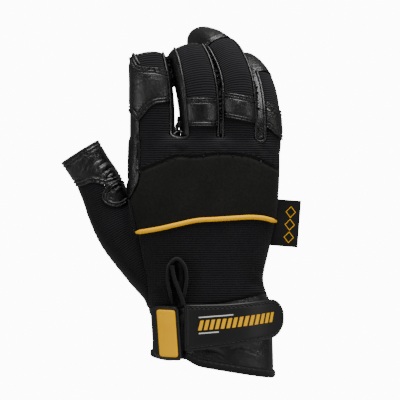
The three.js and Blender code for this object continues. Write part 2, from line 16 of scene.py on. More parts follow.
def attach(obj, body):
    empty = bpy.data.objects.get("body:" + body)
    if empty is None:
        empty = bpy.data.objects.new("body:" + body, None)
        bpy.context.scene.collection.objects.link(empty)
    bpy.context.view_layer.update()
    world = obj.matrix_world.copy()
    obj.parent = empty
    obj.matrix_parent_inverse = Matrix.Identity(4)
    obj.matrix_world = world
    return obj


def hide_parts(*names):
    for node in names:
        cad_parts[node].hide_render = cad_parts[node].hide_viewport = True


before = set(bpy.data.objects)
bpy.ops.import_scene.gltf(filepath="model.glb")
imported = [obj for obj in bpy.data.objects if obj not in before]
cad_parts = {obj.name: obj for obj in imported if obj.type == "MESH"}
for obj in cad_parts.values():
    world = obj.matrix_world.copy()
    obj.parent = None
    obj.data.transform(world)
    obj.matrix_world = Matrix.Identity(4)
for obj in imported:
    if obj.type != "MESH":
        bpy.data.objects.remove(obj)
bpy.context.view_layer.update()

bl_info = {
    "name": "Framer Glove",
    "version": (1, 0, 0),
    "blender": (4, 5, 0),
    "location": "3D Viewport > Sidebar > Glove",
    "description": "Models a right-hand framer glove piece by piece on its frame",
    "category": "Object",
}

MM = 0.001

# Sections of the hand, as x, y, z of the middle, half width and half depth.
HAND = [
    (0.3, 0.0, -14, 39.8, 25.0), (0.4, 0.0, 6, 39.4, 25.0), (0.4, 0.0, 22, 38.9, 24.5),
    (0.0, -0.4, 33, 39.0, 24.0), (-2.0, -0.8, 42, 40.4, 23.6), (-4.4, -1.2, 50, 39.6, 23.0),
    (-6.2, -1.6, 60, 39.2, 22.4), (-6.4, -2.3, 74, 42.2, 21.4), (-6.0, -3.1, 88, 45.2, 20.2),
    (-5.6, -3.7, 102, 47.6, 19.2), (-5.6, -4.1, 118, 48.8, 18.0), (-5.4, -4.4, 132, 49.2, 17.0),
    (-5.2, -4.5, 145, 49.0, 15.8),
]
HAND_POWER, HAND_SIDES = 2.5, 96
SHOULDER, TOP_SLOPE = 6.0, -0.05

# Sections of the fingers and the thumb, from inside the hand to the tip, in the same columns.
FINGERS = {
    "index": [
        (-38.6, -4.0, 130, 13.8, 12.4), (-38.7, -5.0, 150, 14.3, 12.8), (-38.7, -4.6, 168, 14.3, 12.6),
        (-39.4, -2.4, 184, 13.6, 12.0), (-40.7, 1.4, 195, 12.6, 11.4), (-41.8, 5.0, 202.4, 11.8, 10.8),
    ],
    "middle": [
        (-7.6, -5.0, 130, 12.0, 12.4), (-7.5, -6.0, 150, 12.4, 12.8), (-8.0, -5.6, 166, 13.1, 12.8),
        (-9.4, -2.8, 181, 13.8, 12.6), (-12.6, 3.4, 195, 13.6, 12.0), (-17.0, 11.4, 206, 12.6, 11.2),
    ],
    "ring": [
        (17.0, -4.0, 130, 11.8, 12.2), (17.0, -5.0, 150, 12.1, 12.6), (17.1, -4.0, 167, 12.1, 12.4),
        (15.8, 2.4, 186, 11.5, 12.0), (9.2, 14.2, 202.6, 11.5, 11.4), (0.6, 26.0, 211.8, 11.2, 10.8),
        (-5.8, 36.0, 215.4, 10.6, 10.4),
    ],
    "pinky": [
        (30.6, -3.4, 116, 7.4, 8.4), (34.8, -2.0, 145, 9.6, 11.2), (34.9, 0.8, 161, 9.7, 11.0),
        (33.6, 8.2, 175, 9.8, 10.4), (30.6, 18.2, 186.8, 9.8, 9.9), (25.8, 28.8, 195.2, 9.6, 9.6),
        (21.8, 36.4, 199.4, 9.2, 9.2),
    ],
    "thumb": [
        (-30.0, 0.0, 46, 9.0, 15.0), (-40.5, 1.0, 58.5, 11.0, 15.6), (-50.0, 3.5, 74, 13.6, 15.6),
        (-59.2, 6.0, 88.5, 14.9, 15.0), (-66.0, 8.0, 103, 15.0, 14.0), (-72.2, 9.0, 118.6, 14.3, 13.2),
        (-80.0, 9.4, 131.8, 13.4, 12.6), (-86.5, 9.4, 142.2, 13.9, 12.4),
    ],
}
FINGER_POWER, FINGER_SIDES = 2.25, 56
CLOSED_FROM = {"ring": 4.5, "pinky": 4.1}  # the row where a closed leather tip begins
PAST_END = {"index": 1.8, "middle": 1.8, "thumb": 4.0}  # how far the form runs on past a cut tip
CROTCH = {"index": 153.2, "middle": 152.0, "ring": 150.9, "pinky": 150.0}
# The knit on a finger's back: its left and right edge as shares of the half width, and how far round.
KNIT_EDGES = {
    "index": (-0.6, 0.82, 0.1),
    "middle": (-0.62, 0.88, 0.1),
    "ring": (-0.8, 0.88, 0.1),
    "pinky": (-0.1, 1.3, -0.1),
}
KNIT_TOP, KNIT_TOP_SLOPE = 151.6, -0.04  # where the hand's knit gives way to the fingers'
KNIT_BELOW, KNIT_OFF = 4, 3  # how far a finger's knit runs below its crotch and off its form
THUMB_DEEP, THUMB_NEAR = 14, 10  # about half the thumb's depth, and how far off its form its knit runs
# About how many millimetres one row of a finger's sections is, at an open end and at a closed tip.
OPEN_ROW, CAP_ROW = 9, 12
CUFF_TURN = 8  # how far round the side the cuff's seam goes from the back's line to the palm's

# The form is smoothed all over, and far more on the knuckles and the thumb's root, between these heights.
FORM_TURNS, KNUCKLE_TURNS = 14, 140
KNUCKLES_Z = (128, 138, 158, 172)
ROOT_Z, ROOT_OFF, ROOT_SHARE = (115, 125), (2, 9), 0.7

# Seams as seen from the back of the hand, as x and z.
SIDE_SEAM_Y = -4.5
KNUCKLE_SEAM = [
    (-47.1, 128.9), (-33.2, 134.2), (-22.6, 138.2), (-10.0, 138.0), (5.6, 139.8), (21.0, 138.6),
    (30.4, 135.8), (44.4, 129.2),
]
PIPING_SEAM = [
    (-48.6, 89.6), (-34.9, 91.9), (-22.5, 94.7), (-10.0, 97.4), (2.4, 98.2), (14.8, 99.0), (24.7, 99.5),
    (33.5, 98.8), (41.6, 96.4),
]
CUFF_SEAM = [(-42.0, 40.5), (-20.0, 41.0), (0.0, 43.4), (18.0, 46.6), (37.0, 50.6)]
CUFF_PALM_Z = 40.2
THUMB_SEAM = [(-42.0, 40.5), (-42.2, 57.9), (-44.8, 69.6), (-48.6, 89.6)]
PALM_EDGE = [
    (-48.6, 89.6), (-51.6, 104.0), (-53.0, 112.4), (-48.2, 121.0), (-47.1, 128.9), (-46.4, 143.0),
    (-46.6, 158.0),
]
THUMB_SIDE = [(-48.6, 89.6), (-51.6, 104.0), (-53.0, 112.4), (-54.2, 121.6), (-110.0, 150.0)]
THUMB_TIP_EDGE = [
    (-115, 118.8), (-87, 119.6), (-77.5, 121.8), (-68.9, 120.2), (-61.0, 122.6), (-56.4, 127.0),
]

# Outlines of the leather sewn on top, seen from the back of the hand, and how far back each one wraps.
THUMB_PATCH = [
    (-54.4, 121.5), (-58.3, 122.5), (-61.6, 123.5), (-65.5, 121.5), (-68.4, 118.9), (-70.3, 116.3),
    (-71.3, 113.1), (-70.6, 110.2), (-68.4, 107.9), (-65.1, 106.4), (-61.6, 106.0), (-58.3, 106.6),
    (-55.4, 108.6), (-52.5, 112.4), (-49.9, 117.0), (-48.0, 121.5), (-47.3, 128.0), (-50.6, 130.5),
    (-53.1, 126.0),
]
THUMB_PATCH_SEWN = (1, 12)  # the rows between which its edge is sewn down
INDEX_PATCH = [
    (-60.0, 208.0), (-51.2, 208.0), (-49.4, 200.2), (-46.3, 196.6), (-36.4, 195.6), (-29.0, 193.6),
    (-25.0, 174.0), (-29.0, 173.4), (-36.4, 172.2), (-40.7, 169.2), (-44.4, 164.6), (-48.5, 161.3),
    (-53.7, 168.7), (-60.0, 172.0),
]
BANDS = {
    "middle": [(-18.6, 175.9), (2.9, 175.9), (4.0, 157.9), (-16.4, 157.9)],
    "ring": [(7.9, 180.0), (26.6, 176.2), (27.6, 159.9), (8.7, 163.8)],
    "pinky": [(35.2, 173.6), (50.0, 164.6), (50.0, 145.0), (35.5, 157.2)],
}
PATCH_DEEP = {"index": 2, "thumb": 6, "middle": -4.6, "ring": -3.2, "pinky": 2}

# Creases in the leather as seen from the back: x and z of both ends, half width and depth.
CREASES = [
    (-77.9, 132.6, -69.5, 137.0, 1.1, 0.5), (-76.3, 128.3, -66.5, 135.8, 1.2, 0.75),
    (-72.4, 125.3, -63.9, 132.0, 1.2, 0.8), (-69.3, 122.4, -64.4, 129.0, 1.0, 0.6),
    (-83.0, 133.9, -77.4, 140.8, 1.0, 0.45), (-86.6, 136.9, -81.4, 141.9, 1.0, 0.35),
    (-65.2, 115.2, -58.6, 120.6, 0.9, 0.7), (-66.8, 112.6, -62.2, 109.2, 0.9, 0.35),
    (-6.4, 14.6, 9.4, 9.3, 1.5, 0.9), (11.8, 15.9, 31.5, 12.0, 1.8, 0.95),
    (-24.4, 145.8, -21.0, 139.0, 2.2, 0.8), (-17.2, 146.0, -19.4, 139.6, 2.0, 0.6),
    (5.6, 147.6, 7.6, 141.6, 2.2, 0.7), (31.4, 146.4, 33.4, 140.0, 2.2, 0.8),
    (-38.0, 52.0, -29.0, 47.0, 2.6, 0.6), (22.0, 57.0, 36.0, 53.0, 3.0, 0.8),
    (26.0, 66.0, 37.0, 63.5, 3.4, 0.8),
]
# Creases in the palm's leather, in the same columns.
PALM_CREASES = [
    (-50.0, 112.0, -8.0, 104.0, 2.4, 0.9), (-46.0, 122.0, 26.0, 132.0, 2.6, 0.9),
    (-34.0, 58.0, -26.0, 98.0, 2.8, 0.9), (-22.0, 150.0, 6.0, 152.0, 1.8, 0.7),
    (6.0, 151.0, 30.0, 150.0, 1.8, 0.7), (30.0, 149.0, 44.0, 144.0, 1.8, 0.6),
    (-52.0, 160.0, -27.0, 161.0, 1.8, 0.6), (-20.0, 172.0, 4.0, 173.0, 1.6, 0.6),
    (7.0, 176.0, 28.0, 173.0, 1.6, 0.6), (-30.0, 47.0, 28.0, 49.0, 2.6, 0.6),
    (-74.0, 112.0, -60.0, 106.0, 1.8, 0.6),
]
# Rows of stitches beside a seam: the seam, how far to its left, height, and the x it runs between.
SEAM_ROWS = [
    (PALM_EDGE, 2.3, 0.3, -60, -40),
    (THUMB_TIP_EDGE, 1.7, 0.45, -89, -66),
    (THUMB_TIP_EDGE, 4.0, 0.45, -89, -66),
]
KNUCKLE_ROW = (2.0, -0.05, -45, 42)
# Rows of stitches round an opening: the finger, how far before its end, and height; they stop at a y.
RING_ROWS = [("thumb", 3.9, 0.45), ("thumb", 1.9, 0.45), ("index", 2.4, 0.1), ("middle", 2.4, 0.1)]
RING_ROWS_Y = 8.0
RING_TRUST = 0.8  # how far the skin may lie off a finger's own section and still be its wall
# Leather rolled over at the corner of the index finger's opening: x and z along it.
ROLLED_CORNER = [(-51.4, 205.6), (-50.2, 203.8), (-48.8, 201.2), (-46.4, 198.0)]
CORNER_ROLL, CORNER_LIFT = (1.3, 1.2), 0.35
# Trimmed leather in the crotches: x, y, z, the angle of each bit, its length and half width.
TUFTS = [
    (-21.6, -8, 161.0, 94, 7.0, 1.3), (-22.8, -10, 157.0, 78, 8.0, 1.5),
    (-20.2, -9, 157.4, 100, 8.0, 1.5), (-21.4, -12, 153.8, 60, 5.5, 1.5),
    (-19.2, -13, 153.4, 125, 5.0, 1.2), (-23.4, -13, 153.4, 40, 4.5, 1.1),
    (28.8, -12, 151.4, 155, 4.5, 1.0), (31.2, -13, 150.6, 25, 4.5, 1.0),
]
# The knit's tucks above the knuckle seam.
PUCKER_PITCH, PUCKER_DEEP, PUCKER_REACH = 3.4, 0.3, 3.4
CROTCH_DROP = 2.0  # how far a welt dips below its ends in a crotch
WELT_TRUST = 2.5  # how far the skin may lie off a finger's own section and still carry its welt
WELT, WELT_LIFT = (1.0, 0.8), 0.35  # a welt's half width and half height, and its lift off the skin
# The roll at the thumb's opening: its radius, how far before the end it lies, and its lift.
THUMB_ROLL, THUMB_ROLL_IN, THUMB_ROLL_LIFT = 0.9, 0.9, -0.3
# Pitches of the knit's ribs, of its loops and of the weave, and the width of the leather's grain.
RIB_PITCH, LOOP_PITCH, WEAVE_PITCH, GRAIN = 1.45, 1.0, 0.9, 0.9

# The hem, and the slit in the back of the cuff as seen from there.
HEM_Z, HEM_SLOPE = 2.2, -0.17
SLIT = [(-18.6, 34), (-17.8, 34), (-17.6, 12), (-17.2, -2), (-19.4, -2), (-19.0, 12)]
SLIT_X = -18.2
SLIT_ROOM, SLIT_Y = 0.4, -5  # how far from the slit the tape stops, and in front of which y
CORNER_RISE, CORNER_WIDTH = 3.6, 6.5  # the hem's round corner beside the slit

# The strap round the back of the wrist: x and y of its inner face, its middle and its height.
STRAP = [
    (-17.8, -23.0, 28.8, 29.8), (-10.0, -24.2, 29.0, 29.4), (0.0, -24.5, 29.8, 28.2),
    (10.0, -24.2, 30.6, 27.2), (20.0, -22.7, 31.8, 26.4), (27.0, -20.2, 32.7, 26.0),
    (33.0, -16.6, 33.5, 25.6), (39.0, -11.4, 34.2, 25.2), (45.4, -4.8, 34.6, 25.0),
]
STRAP_FROM, STRAP_THICK, STRAP_CORNERS = 0.4, 2.2, (1.5, 13.0)
STRAP_STITCHES_IN, STITCHES_SUNK = 2.0, 0.2
# The print on the strap: a row of leaning bars, and thin lines by start, stop and height.
PRINT_BARS, PRINT_FROM, PRINT_PITCH = 14, 9.0, 3.55
PRINT_WIDE, PRINT_HIGH, PRINT_UP, PRINT_LEAN = 2.2, 6.2, 1.2, 1.5
PRINT_LINES = [(9.5, 31.0, 6.0), (9.5, 22.0, -4.2)]
PRINT_LINE = 0.7
PRINT_SUNK, PRINT_PROUD = 0.4, 0.12
# The tab and the plate that holds it, in the same columns.
TAB = [
    (-36.6, -13.2, 25.6, 31.0), (-33.0, -16.8, 25.4, 34.0), (-27.0, -20.6, 25.2, 34.6),
    (-19.6, -23.4, 25.0, 34.6),
]
TAB_LEAN, TAB_MARGIN = -0.07, 2.3
PLATE_FROM, PLATE_THICK, PLATE_CORNERS = 1.6, 2.0, (5.0, 3.0)
TAB_FROM, TAB_THICK, TAB_SUNK, TAB_CORNERS = 3.9, 1.2, 0.35, (1.6, 1.6)
TAB_ROW_FROM, TAB_ROW_TO = 1.2, 2.68
PIPE_RADIUS, PIPE_LIFT = 1.45, 0.25  # of the cord in the piping
# The hanging loop as seen from the back, how far it stands off the knit, and its ribbon.
LOOP_PATH = [
    (-25.4, 44.6), (-27.2, 52.0), (-28.6, 60.0), (-27.6, 68.5), (-22.6, 73.2), (-17.6, 68.5), (-16.4, 60.0),
    (-17.4, 52.0), (-19.0, 44.6),
]
LOOP_STAND_OFF, LOOP_FOOT_OFF, LOOP_FOOT = 3.2, 1.7, 7.0
LOOP_RIBBON, LOOP_THICK = 5.4, 2.3
# The strand that crosses inside the loop and the flat web behind it, with their height off the knit and
# their half widths.
LOOP_STRAND = [(-25.6, 68.8), (-25.2, 65.0), (-23.9, 59.6), (-21.7, 53.9), (-19.6, 48.5), (-18.2, 43.6)]
LOOP_WEB = [(-20.6, 71.0), (-19.8, 65.7), (-19.7, 59.3), (-20.6, 52.3)]
LOOP_INSIDE = [(LOOP_STRAND, 5.6, 1.3, 1.0), (LOOP_WEB, 2.4, 1.7, 0.6)]
# The label: its size, its lean in degrees, its middle, and the middles of the lozenges on it.
LABEL_REACH, LABEL_HIGH, LABEL_THICK = 19.6, 30.4, 0.9
LABEL_LEAN, LABEL_AT = 4.5, (46.8, -4.5, 95.6)
LOZENGES = [(3.6, 7.4), (3.6, -0.8), (3.6, -9.0)]
LOZENGE_WIDE, LOZENGE_HIGH, LOZENGE_LINE = 6.6, 7.6, 0.5
LOZENGE_SUNK, LOZENGE_PROUD = 0.2, 0.1
# The tape round the hem, and its row of stitches.
BINDING_HIGH, BINDING_HALF, BINDING_SUNK = 5.0, 2.15, 0.8
HEM_ROW_UP, HEM_ROW_LIFT, HEM_STITCH = 3.9, 1.05, 2.6
HEM_POINTS, HEM_ROUNDS = 720, 8


def colour(code):
    """A linear colour from an sRGB hex value."""
    parts = [int(code[k:k + 2], 16) / 255 for k in (1, 3, 5)]
    return [c / 12.92 if c <= 0.04045 else ((c + 0.055) / 1.055) ** 2.4 for c in parts] + [1.0]


def tone(name, description, code):
    """A colour property with an sRGB hex value as its default."""
    return FloatVectorProperty(name=name, description=description, size=4, min=0, max=1, subtype="COLOR",
                               default=colour(code))


def measure(name, description, size):
    """A length property with a default in millimetres."""
    return FloatProperty(name=name, description=description, default=size * MM, unit="LENGTH")


class GloveSizes(bpy.types.PropertyGroup):
    """Sizes of the glove's cloth and sewing"""

    mesh: measure("Mesh", "Spacing of the skin's points", 0.8)
    wall: measure("Wall", "Thickness of a panel", 1.6)
    patch: measure("Patch", "Thickness of leather sewn on top", 1.0)


class GloveColours(bpy.types.PropertyGroup):
    """Colours of the glove's cloth, leather and rubber; each material wanders between two near tones"""

    # The knit's two tones are painted shade: the darker one fills the furrows between the ribs, the lighter
    # one the ribs.
    knit_low: tone("Knit furrows", "The knit's colour between its ribs", "#040305")
    knit_high: tone("Knit ribs", "The knit's colour on its ribs", "#1e1b20")
    cloth_low: tone("Cloth, dark", "The smooth cloth's darker tone", "#040403")
    cloth_high: tone("Cloth, light", "The smooth cloth's lighter tone", "#13130f")
    leather_low: tone("Leather, dark", "The leather's darker tone", "#080707")
    leather_high: tone("Leather, light", "The leather's lighter tone", "#100f0e")
    rubber_low: tone("Rubber, dark", "The black rubber's darker tone", "#0a0a0a")
    rubber_high: tone("Rubber, light", "The black rubber's lighter tone", "#0f0f0e")
    yellow_low: tone("Yellow, dark", "The yellow rubber's and cord's darker tone", "#f2ae00")
    yellow_high: tone("Yellow, light", "The yellow rubber's and cord's lighter tone", "#ffbe00")
    tape_low: tone("Tape, dark", "The tape's darker tone", "#0a0a0c")
    tape_high: tone("Tape, light", "The tape's lighter tone", "#131315")
    thread_low: tone("Thread, dark", "The thread's darker tone", "#151515")
    thread_high: tone("Thread, light", "The thread's lighter tone", "#1e1e1d")
    lining_low: tone("Lining, dark", "The lining's darker tone", "#151515")
    lining_high: tone("Lining, light", "The lining's lighter tone", "#20201f")
    white_low: tone("White print, dark", "The white print's darker tone", "#d8d8d4")
    white_high: tone("White print, light", "The white print's lighter tone", "#e8e8e4")


def node(tree, kind, settings=None, **sockets):
    """Adds a shader node; a socket named s0, s1 and so on is given by its number."""
    new = tree.nodes.new("ShaderNode" + kind)
    for key, value in (settings or {}).items():
        setattr(new, key, value)
    for key, value in sockets.items():
        socket = new.inputs[int(key[1:])] if key[1:].isdigit() else new.inputs[key.replace("_", " ")]
        if isinstance(value, bpy.types.NodeSocket):
            tree.links.new(value, socket)
        else:
            socket.default_value = value
    return new


def maths(tree, operation, *values):
    """The result of a Math node on its values."""
    sockets = {f"s{k}": value for k, value in enumerate(values)}
    return node(tree, "Math", {"operation": operation}, **sockets).outputs[0]


def wave(tree, value, length):
    """A sine wave of a given length along a value."""
    return maths(tree, "SINE", maths(tree, "MULTIPLY", value, 2 * math.pi / length))


def noise(tree, place, scale, detail, **sockets):
    return node(tree, "TexNoise", Vector=place, Scale=scale, Detail=detail, **sockets).outputs["Fac"]


def object_place(tree):
    return node(tree, "TexCoord").outputs["Object"]


def cloth_axes(tree):
    """The two cloth coordinates, across and along, in millimetres."""
    cloth = node(tree, "UVMap", {"uv_map": "cloth"}).outputs["UV"]
    axes = node(tree, "SeparateXYZ", Vector=cloth)
    return axes.outputs["X"], axes.outputs["Y"]


def new_material(name, **shader):
    """A material with a Principled shader, whose sockets are given by name."""
    material = bpy.data.materials.new(name)
    material.use_nodes = True
    tree = material.node_tree
    tree.nodes.clear()
    surface_node = node(tree, "BsdfPrincipled", IOR=1.5, **shader)
    node(tree, "OutputMaterial", Surface=surface_node.outputs["BSDF"])
    return material, tree, surface_node


def finish_surface(tree, shader, height, depth, base, roughness=None):
    """Links a bump height with its depth in millimetres, the colour, and the roughness if given."""
    bump = node(tree, "Bump", Strength=1.0, Distance=depth * MM, Height=height)
    tree.links.new(bump.outputs["Normal"], shader.inputs["Normal"])
    tree.links.new(base, shader.inputs["Base Color"])
    if roughness:
        tree.links.new(roughness, shader.inputs["Roughness"])


def blend_colours(tree, factor, name):
    """A colour that goes from one of the named pair of tones to the other."""
    colours = bpy.context.scene.glove_colours
    mix = node(tree, "Mix", {"data_type": "RGBA"}, Factor=factor)
    mix.inputs[6].default_value = getattr(colours, name + "_low")
    mix.inputs[7].default_value = getattr(colours, name + "_high")
    return mix.outputs[2]


def ribbed_knit():
    """Elastic rib knit: matt polyester yarn in ridges 1.45 mm apart; its colour carries painted shade,
    darker in the furrows.
    """
    material, tree, shader = new_material("polyester_rib_knit", Roughness=0.92, Specular_IOR_Level=0.16,
                                          Sheen_Weight=0.06, Sheen_Roughness=0.5)
    across, along = cloth_axes(tree)
    place = object_place(tree)
    bent = maths(tree, "MULTIPLY_ADD", noise(tree, place, 180.0, 2.0), 0.45, along)
    ridge = maths(tree, "ABSOLUTE", wave(tree, bent, 2 * RIB_PITCH))
    height = maths(tree, "MULTIPLY_ADD", wave(tree, across, LOOP_PITCH), 0.12, ridge)
    # Painted shade: the colour follows the ribs' height, darker in the furrows and lighter on the ribs,
    # under random patches.
    rib_shade_and_patches = maths(tree, "MULTIPLY", ridge, noise(tree, place, 60.0, 3.0))
    finish_surface(tree, shader, height, 0.5, blend_colours(tree, rib_shade_and_patches, "knit"))
    return material


def smooth_cloth():
    """Close-woven stretch cloth over thin foam: matt, with a faint fine weave and a slight warm grey."""
    material, tree, shader = new_material("stretch_cloth_over_foam", Roughness=0.85, Specular_IOR_Level=0.2,
                                          Sheen_Weight=0.04)
    place = object_place(tree)
    weave = maths(tree, "MULTIPLY", *[wave(tree, axis, WEAVE_PITCH) for axis in cloth_axes(tree)])
    height = maths(tree, "MULTIPLY_ADD", weave, 0.2, noise(tree, place, 320.0, 3.0))
    patches, lint = noise(tree, place, 45.0, 4.0), noise(tree, place, 700.0, 2.0)
    both = maths(tree, "MULTIPLY", patches, lint)
    spread = node(tree, "MapRange", Value=both, From_Min=0.12, From_Max=0.4).outputs[0]
    finish_surface(tree, shader, height, 0.16, blend_colours(tree, spread, "cloth"))
    return material


def black_leather():
    """Goatskin, milled soft: pebbled grain 0.9 mm wide over soft hollows, glossier where it is rubbed."""
    material, tree, shader = new_material("milled_goatskin", Specular_IOR_Level=0.4)
    place = object_place(tree)
    pebbles = node(tree, "TexVoronoi", {"feature": "DISTANCE_TO_EDGE"}, Vector=place,
                   Scale=1 / (GRAIN * MM), Randomness=1.0)
    rounded = maths(tree, "POWER", pebbles.outputs["Distance"], 0.5)
    grain = maths(tree, "MULTIPLY_ADD", noise(tree, place, 420.0, 5.0, Roughness=0.62), 1.5, rounded)
    height = maths(tree, "MULTIPLY_ADD", noise(tree, place, 190.0, 2.0), 1.5, grain)
    wear = noise(tree, place, 70.0, 4.0)
    rough = node(tree, "MapRange", Value=wear, From_Min=0.3, From_Max=0.7, To_Min=0.23, To_Max=0.35)
    finish_surface(tree, shader, height, 0.12, blend_colours(tree, wear, "leather"), rough.outputs[0])
    return material


def fine_grained(name, tones, grain, depth, roughness, specular, sheen):
    """A material with one even grain, its size and depth in millimetres, and two near tones."""
    material, tree, shader = new_material(name, Roughness=roughness, Specular_IOR_Level=specular,
                                          Sheen_Weight=sheen)
    place = object_place(tree)
    fine = noise(tree, place, 1 / (grain * MM), 3.0)
    finish_surface(tree, shader, fine, depth, blend_colours(tree, noise(tree, place, 90.0, 4.0), tones))
    return material


# Materials with a function of their own.
WORKED = {"black_leather": black_leather, "ribbed_knit": ribbed_knit, "smooth_cloth": smooth_cloth}
# Materials of one even grain: name, tones, grain, depth, roughness, specular level and sheen.
EVEN = {
    # Moulded rubber: even and matt, with only a breath of texture from the mould.
    "black_rubber": ("moulded_black_rubber", "rubber", 0.5, 0.04, 0.5, 0.35, 0),
    "yellow_rubber": ("moulded_yellow_rubber", "yellow", 0.6, 0.04, 0.6, 0.06, 0),
    # Cord covered in close-woven yellow cloth: bright and nearly matt.
    "yellow_piping": ("yellow_cord_cover", "yellow", 0.4, 0.12, 0.7, 0.08, 0),
    # Ink on the rubber: flat and matt.
    "white_print": ("white_print", "white", 0.6, 0.02, 0.6, 0.2, 0),
    # Woven polyester tape: blacker and drier than the leather.
    "black_tape": ("woven_black_tape", "tape", 0.45, 0.14, 0.85, 0.25, 0.05),
    # Bonded polyester thread, a little glossier than the cloth.
    "thread": ("bonded_black_thread", "thread", 0.3, 0.05, 0.5, 0.4, 0),
    # Brushed tricot inside the walls: soft dark grey.
    "lining": ("brushed_tricot_lining", "lining", 0.8, 0.2, 0.95, 0.2, 0.2),
}


@cache
def material_of(slot):
    return WORKED[slot]() if slot in WORKED else fine_grained(*EVEN[slot])


def between(rows, t):
    """A table's columns between its rows, by a Catmull-Rom curve; t counts rows."""
    rows = np.asarray(rows, float)
    t = np.asarray(t, float)
    low = np.clip(np.floor(t).astype(int), 0, len(rows) - 2)
    u = (t - low)[..., None]
    a, b, c, d = (rows[np.clip(low + k, 0, len(rows) - 1)] for k in (-1, 0, 1, 2))
    return b + 0.5 * u * (c - a + u * (2 * a - 5 * b + 4 * c - d + u * (3 * (b - c) + d - a)))


def unit(vectors):
    return vectors / np.linalg.norm(vectors, axis=-1, keepdims=True)


def frames(rows, t):
    """Centres, directions, sides, backs, half widths and half depths of a finger at each t."""
    at = between(rows, t)
    ahead = unit(between(rows, t + 0.05)[..., :3] - between(rows, t - 0.05)[..., :3])
    side = unit(np.array([1.0, 0, 0]) - ahead * ahead[..., :1])
    return at[..., :3], ahead, side, np.cross(side, ahead), at[..., 3], at[..., 4]


def super_ring(count, wide, deep, power):
    """Points round a superellipse, as their two coordinates."""
    angle = 2 * np.pi * np.arange(count) / count
    c, s = np.cos(angle), np.sin(angle)
    return wide * np.sign(c) * np.abs(c) ** (2 / power), deep * np.sign(s) * np.abs(s) ** (2 / power)


def hand_rings():
    """Rings up the hand and over its round shoulder."""
    last = len(HAND) - 1
    rings = []
    for t in np.linspace(0, last, 6 * last + 1):
        x, y, z, wide, deep = between(HAND, t)
        u, v = super_ring(HAND_SIDES, wide, deep, HAND_POWER)
        lift = TOP_SLOPE * u * np.clip(t - last + 1, 0, 1)
        rings.append(np.stack([x + u, y + v, z + lift], axis=-1))
    x, y, z, wide, deep = HAND[-1]
    for angle in np.radians(np.linspace(12, 90, 8)):
        inset = SHOULDER * (1 - math.cos(angle))
        u, v = super_ring(HAND_SIDES, wide - inset, deep - inset, HAND_POWER)
        rings.append(np.stack([x + u, y + v, z + SHOULDER * math.sin(angle) + TOP_SLOPE * u], axis=-1))
    return rings


def finger_rings(name):
    """Rings up a finger and over its tip, or a little past its cut end."""
    rows = FINGERS[name]
    last = len(rows) - 1
    rings = []

    def ring(t, scale, along):
        centre, ahead, side, back, wide, deep = frames(rows, np.float64(t))
        u, v = super_ring(FINGER_SIDES, wide * scale, deep * scale, FINGER_POWER)
        rings.append(centre + np.outer(u, side) + np.outer(v, back) + ahead * along)

    for t in np.linspace(0, last, 8 * last + 1):
        ring(t, 1, 0)
    if name in CLOSED_FROM:
        for angle in np.radians(np.linspace(9, 81, 9)):
            ring(last, math.cos(angle), rows[-1][4] * math.sin(angle))
    else:
        ring(last, 1, PAST_END[name])
    return rings


def loft(mesh, rings, endless=False):
    """Adds a form through rings of equal length to a bmesh, in metres: capped, or joined end to end."""
    loops = [[mesh.verts.new(point * MM) for point in ring] for ring in rings]
    for low, high in zip(loops, loops[1:] + loops[:1] if endless else loops[1:]):
        for k in range(len(low)):
            n = (k + 1) % len(low)
            mesh.faces.new((low[k], low[n], high[n], high[k]))
    if not endless:
        mesh.faces.new(loops[0][::-1])
        mesh.faces.new(loops[-1])


def select_only(obj):
    bpy.ops.object.select_all(action="DESELECT")
    obj.select_set(True)
    bpy.context.view_layer.objects.active = obj


def apply_modifier(obj, kind, **settings):
    select_only(obj)
    modifier = obj.modifiers.new(kind.lower(), kind)
    for key, value in settings.items():
        setattr(modifier, key, value)
    bpy.ops.object.modifier_apply(modifier=modifier.name)


def smoothstep(value, low, high):
    u = np.clip((value - low) / (high - low), 0, 1)
    return u * u * (3 - 2 * u)


def read_points(mesh):
    points = np.empty(len(mesh.vertices) * 3)
    mesh.vertices.foreach_get("co", points)
    return points.reshape(-1, 3) / MM


def read_normals(mesh):
    return np.array([tuple(v.vector) for v in mesh.vertex_normals])


def read_triangles(mesh):
    mesh.calc_loop_triangles()
    triangles = np.empty(len(mesh.loop_triangles) * 3, int)
    mesh.loop_triangles.foreach_get("vertices", triangles)
    return triangles.reshape(-1, 3)


def link_new(name, mesh):
    """A new object in the scene with the mesh."""
    obj = bpy.data.objects.new(name, mesh)
    bpy.context.collection.objects.link(obj)
    return obj


def from_bmesh(name, shape):
    """A new object in the scene from a bmesh, with its faces turned outward."""
    bmesh.ops.recalc_face_normals(shape, faces=shape.faces)
    mesh = bpy.data.meshes.new(name)
    shape.to_mesh(mesh)
    shape.free()
    return link_new(name, mesh)


def locate(rows, points):
    """Where points lie on a finger: row, side and back as shares, and the distance off its surface."""
    last = len(rows) - 1
    t = np.linspace(0, last, 12 * last + 1)
    centre, ahead = frames(rows, t)[:2]
    gap = (centre ** 2).sum(1) - 2 * points @ centre.T
    near = gap.argmin(1)
    speed = np.linalg.norm(np.gradient(centre, t, axis=0), axis=1)[near]
    t = np.clip(t[near] + ((points - centre[near]) * ahead[near]).sum(1) / speed, 0, last)
    centre, ahead, side, back, wide, deep = frames(rows, t)
    away = points - centre
    side = (away * side).sum(1) / wide
    back = (away * back).sum(1) / deep
    reach = (np.abs(side) ** FINGER_POWER + np.abs(back) ** FINGER_POWER) ** (1 / FINGER_POWER)
    radius = (wide + deep) / 2
    past = (away * ahead).sum(1)
    return t + past / speed, side, back, np.hypot(reach * radius, past) - radius


def hand_at(z):
    """The middle's x and y, the half width and the half depth of the hand at a height."""
    rows = np.asarray(HAND, float)
    return [np.interp(z, rows[:, 2], rows[:, k]) for k in (0, 1, 3, 4)]


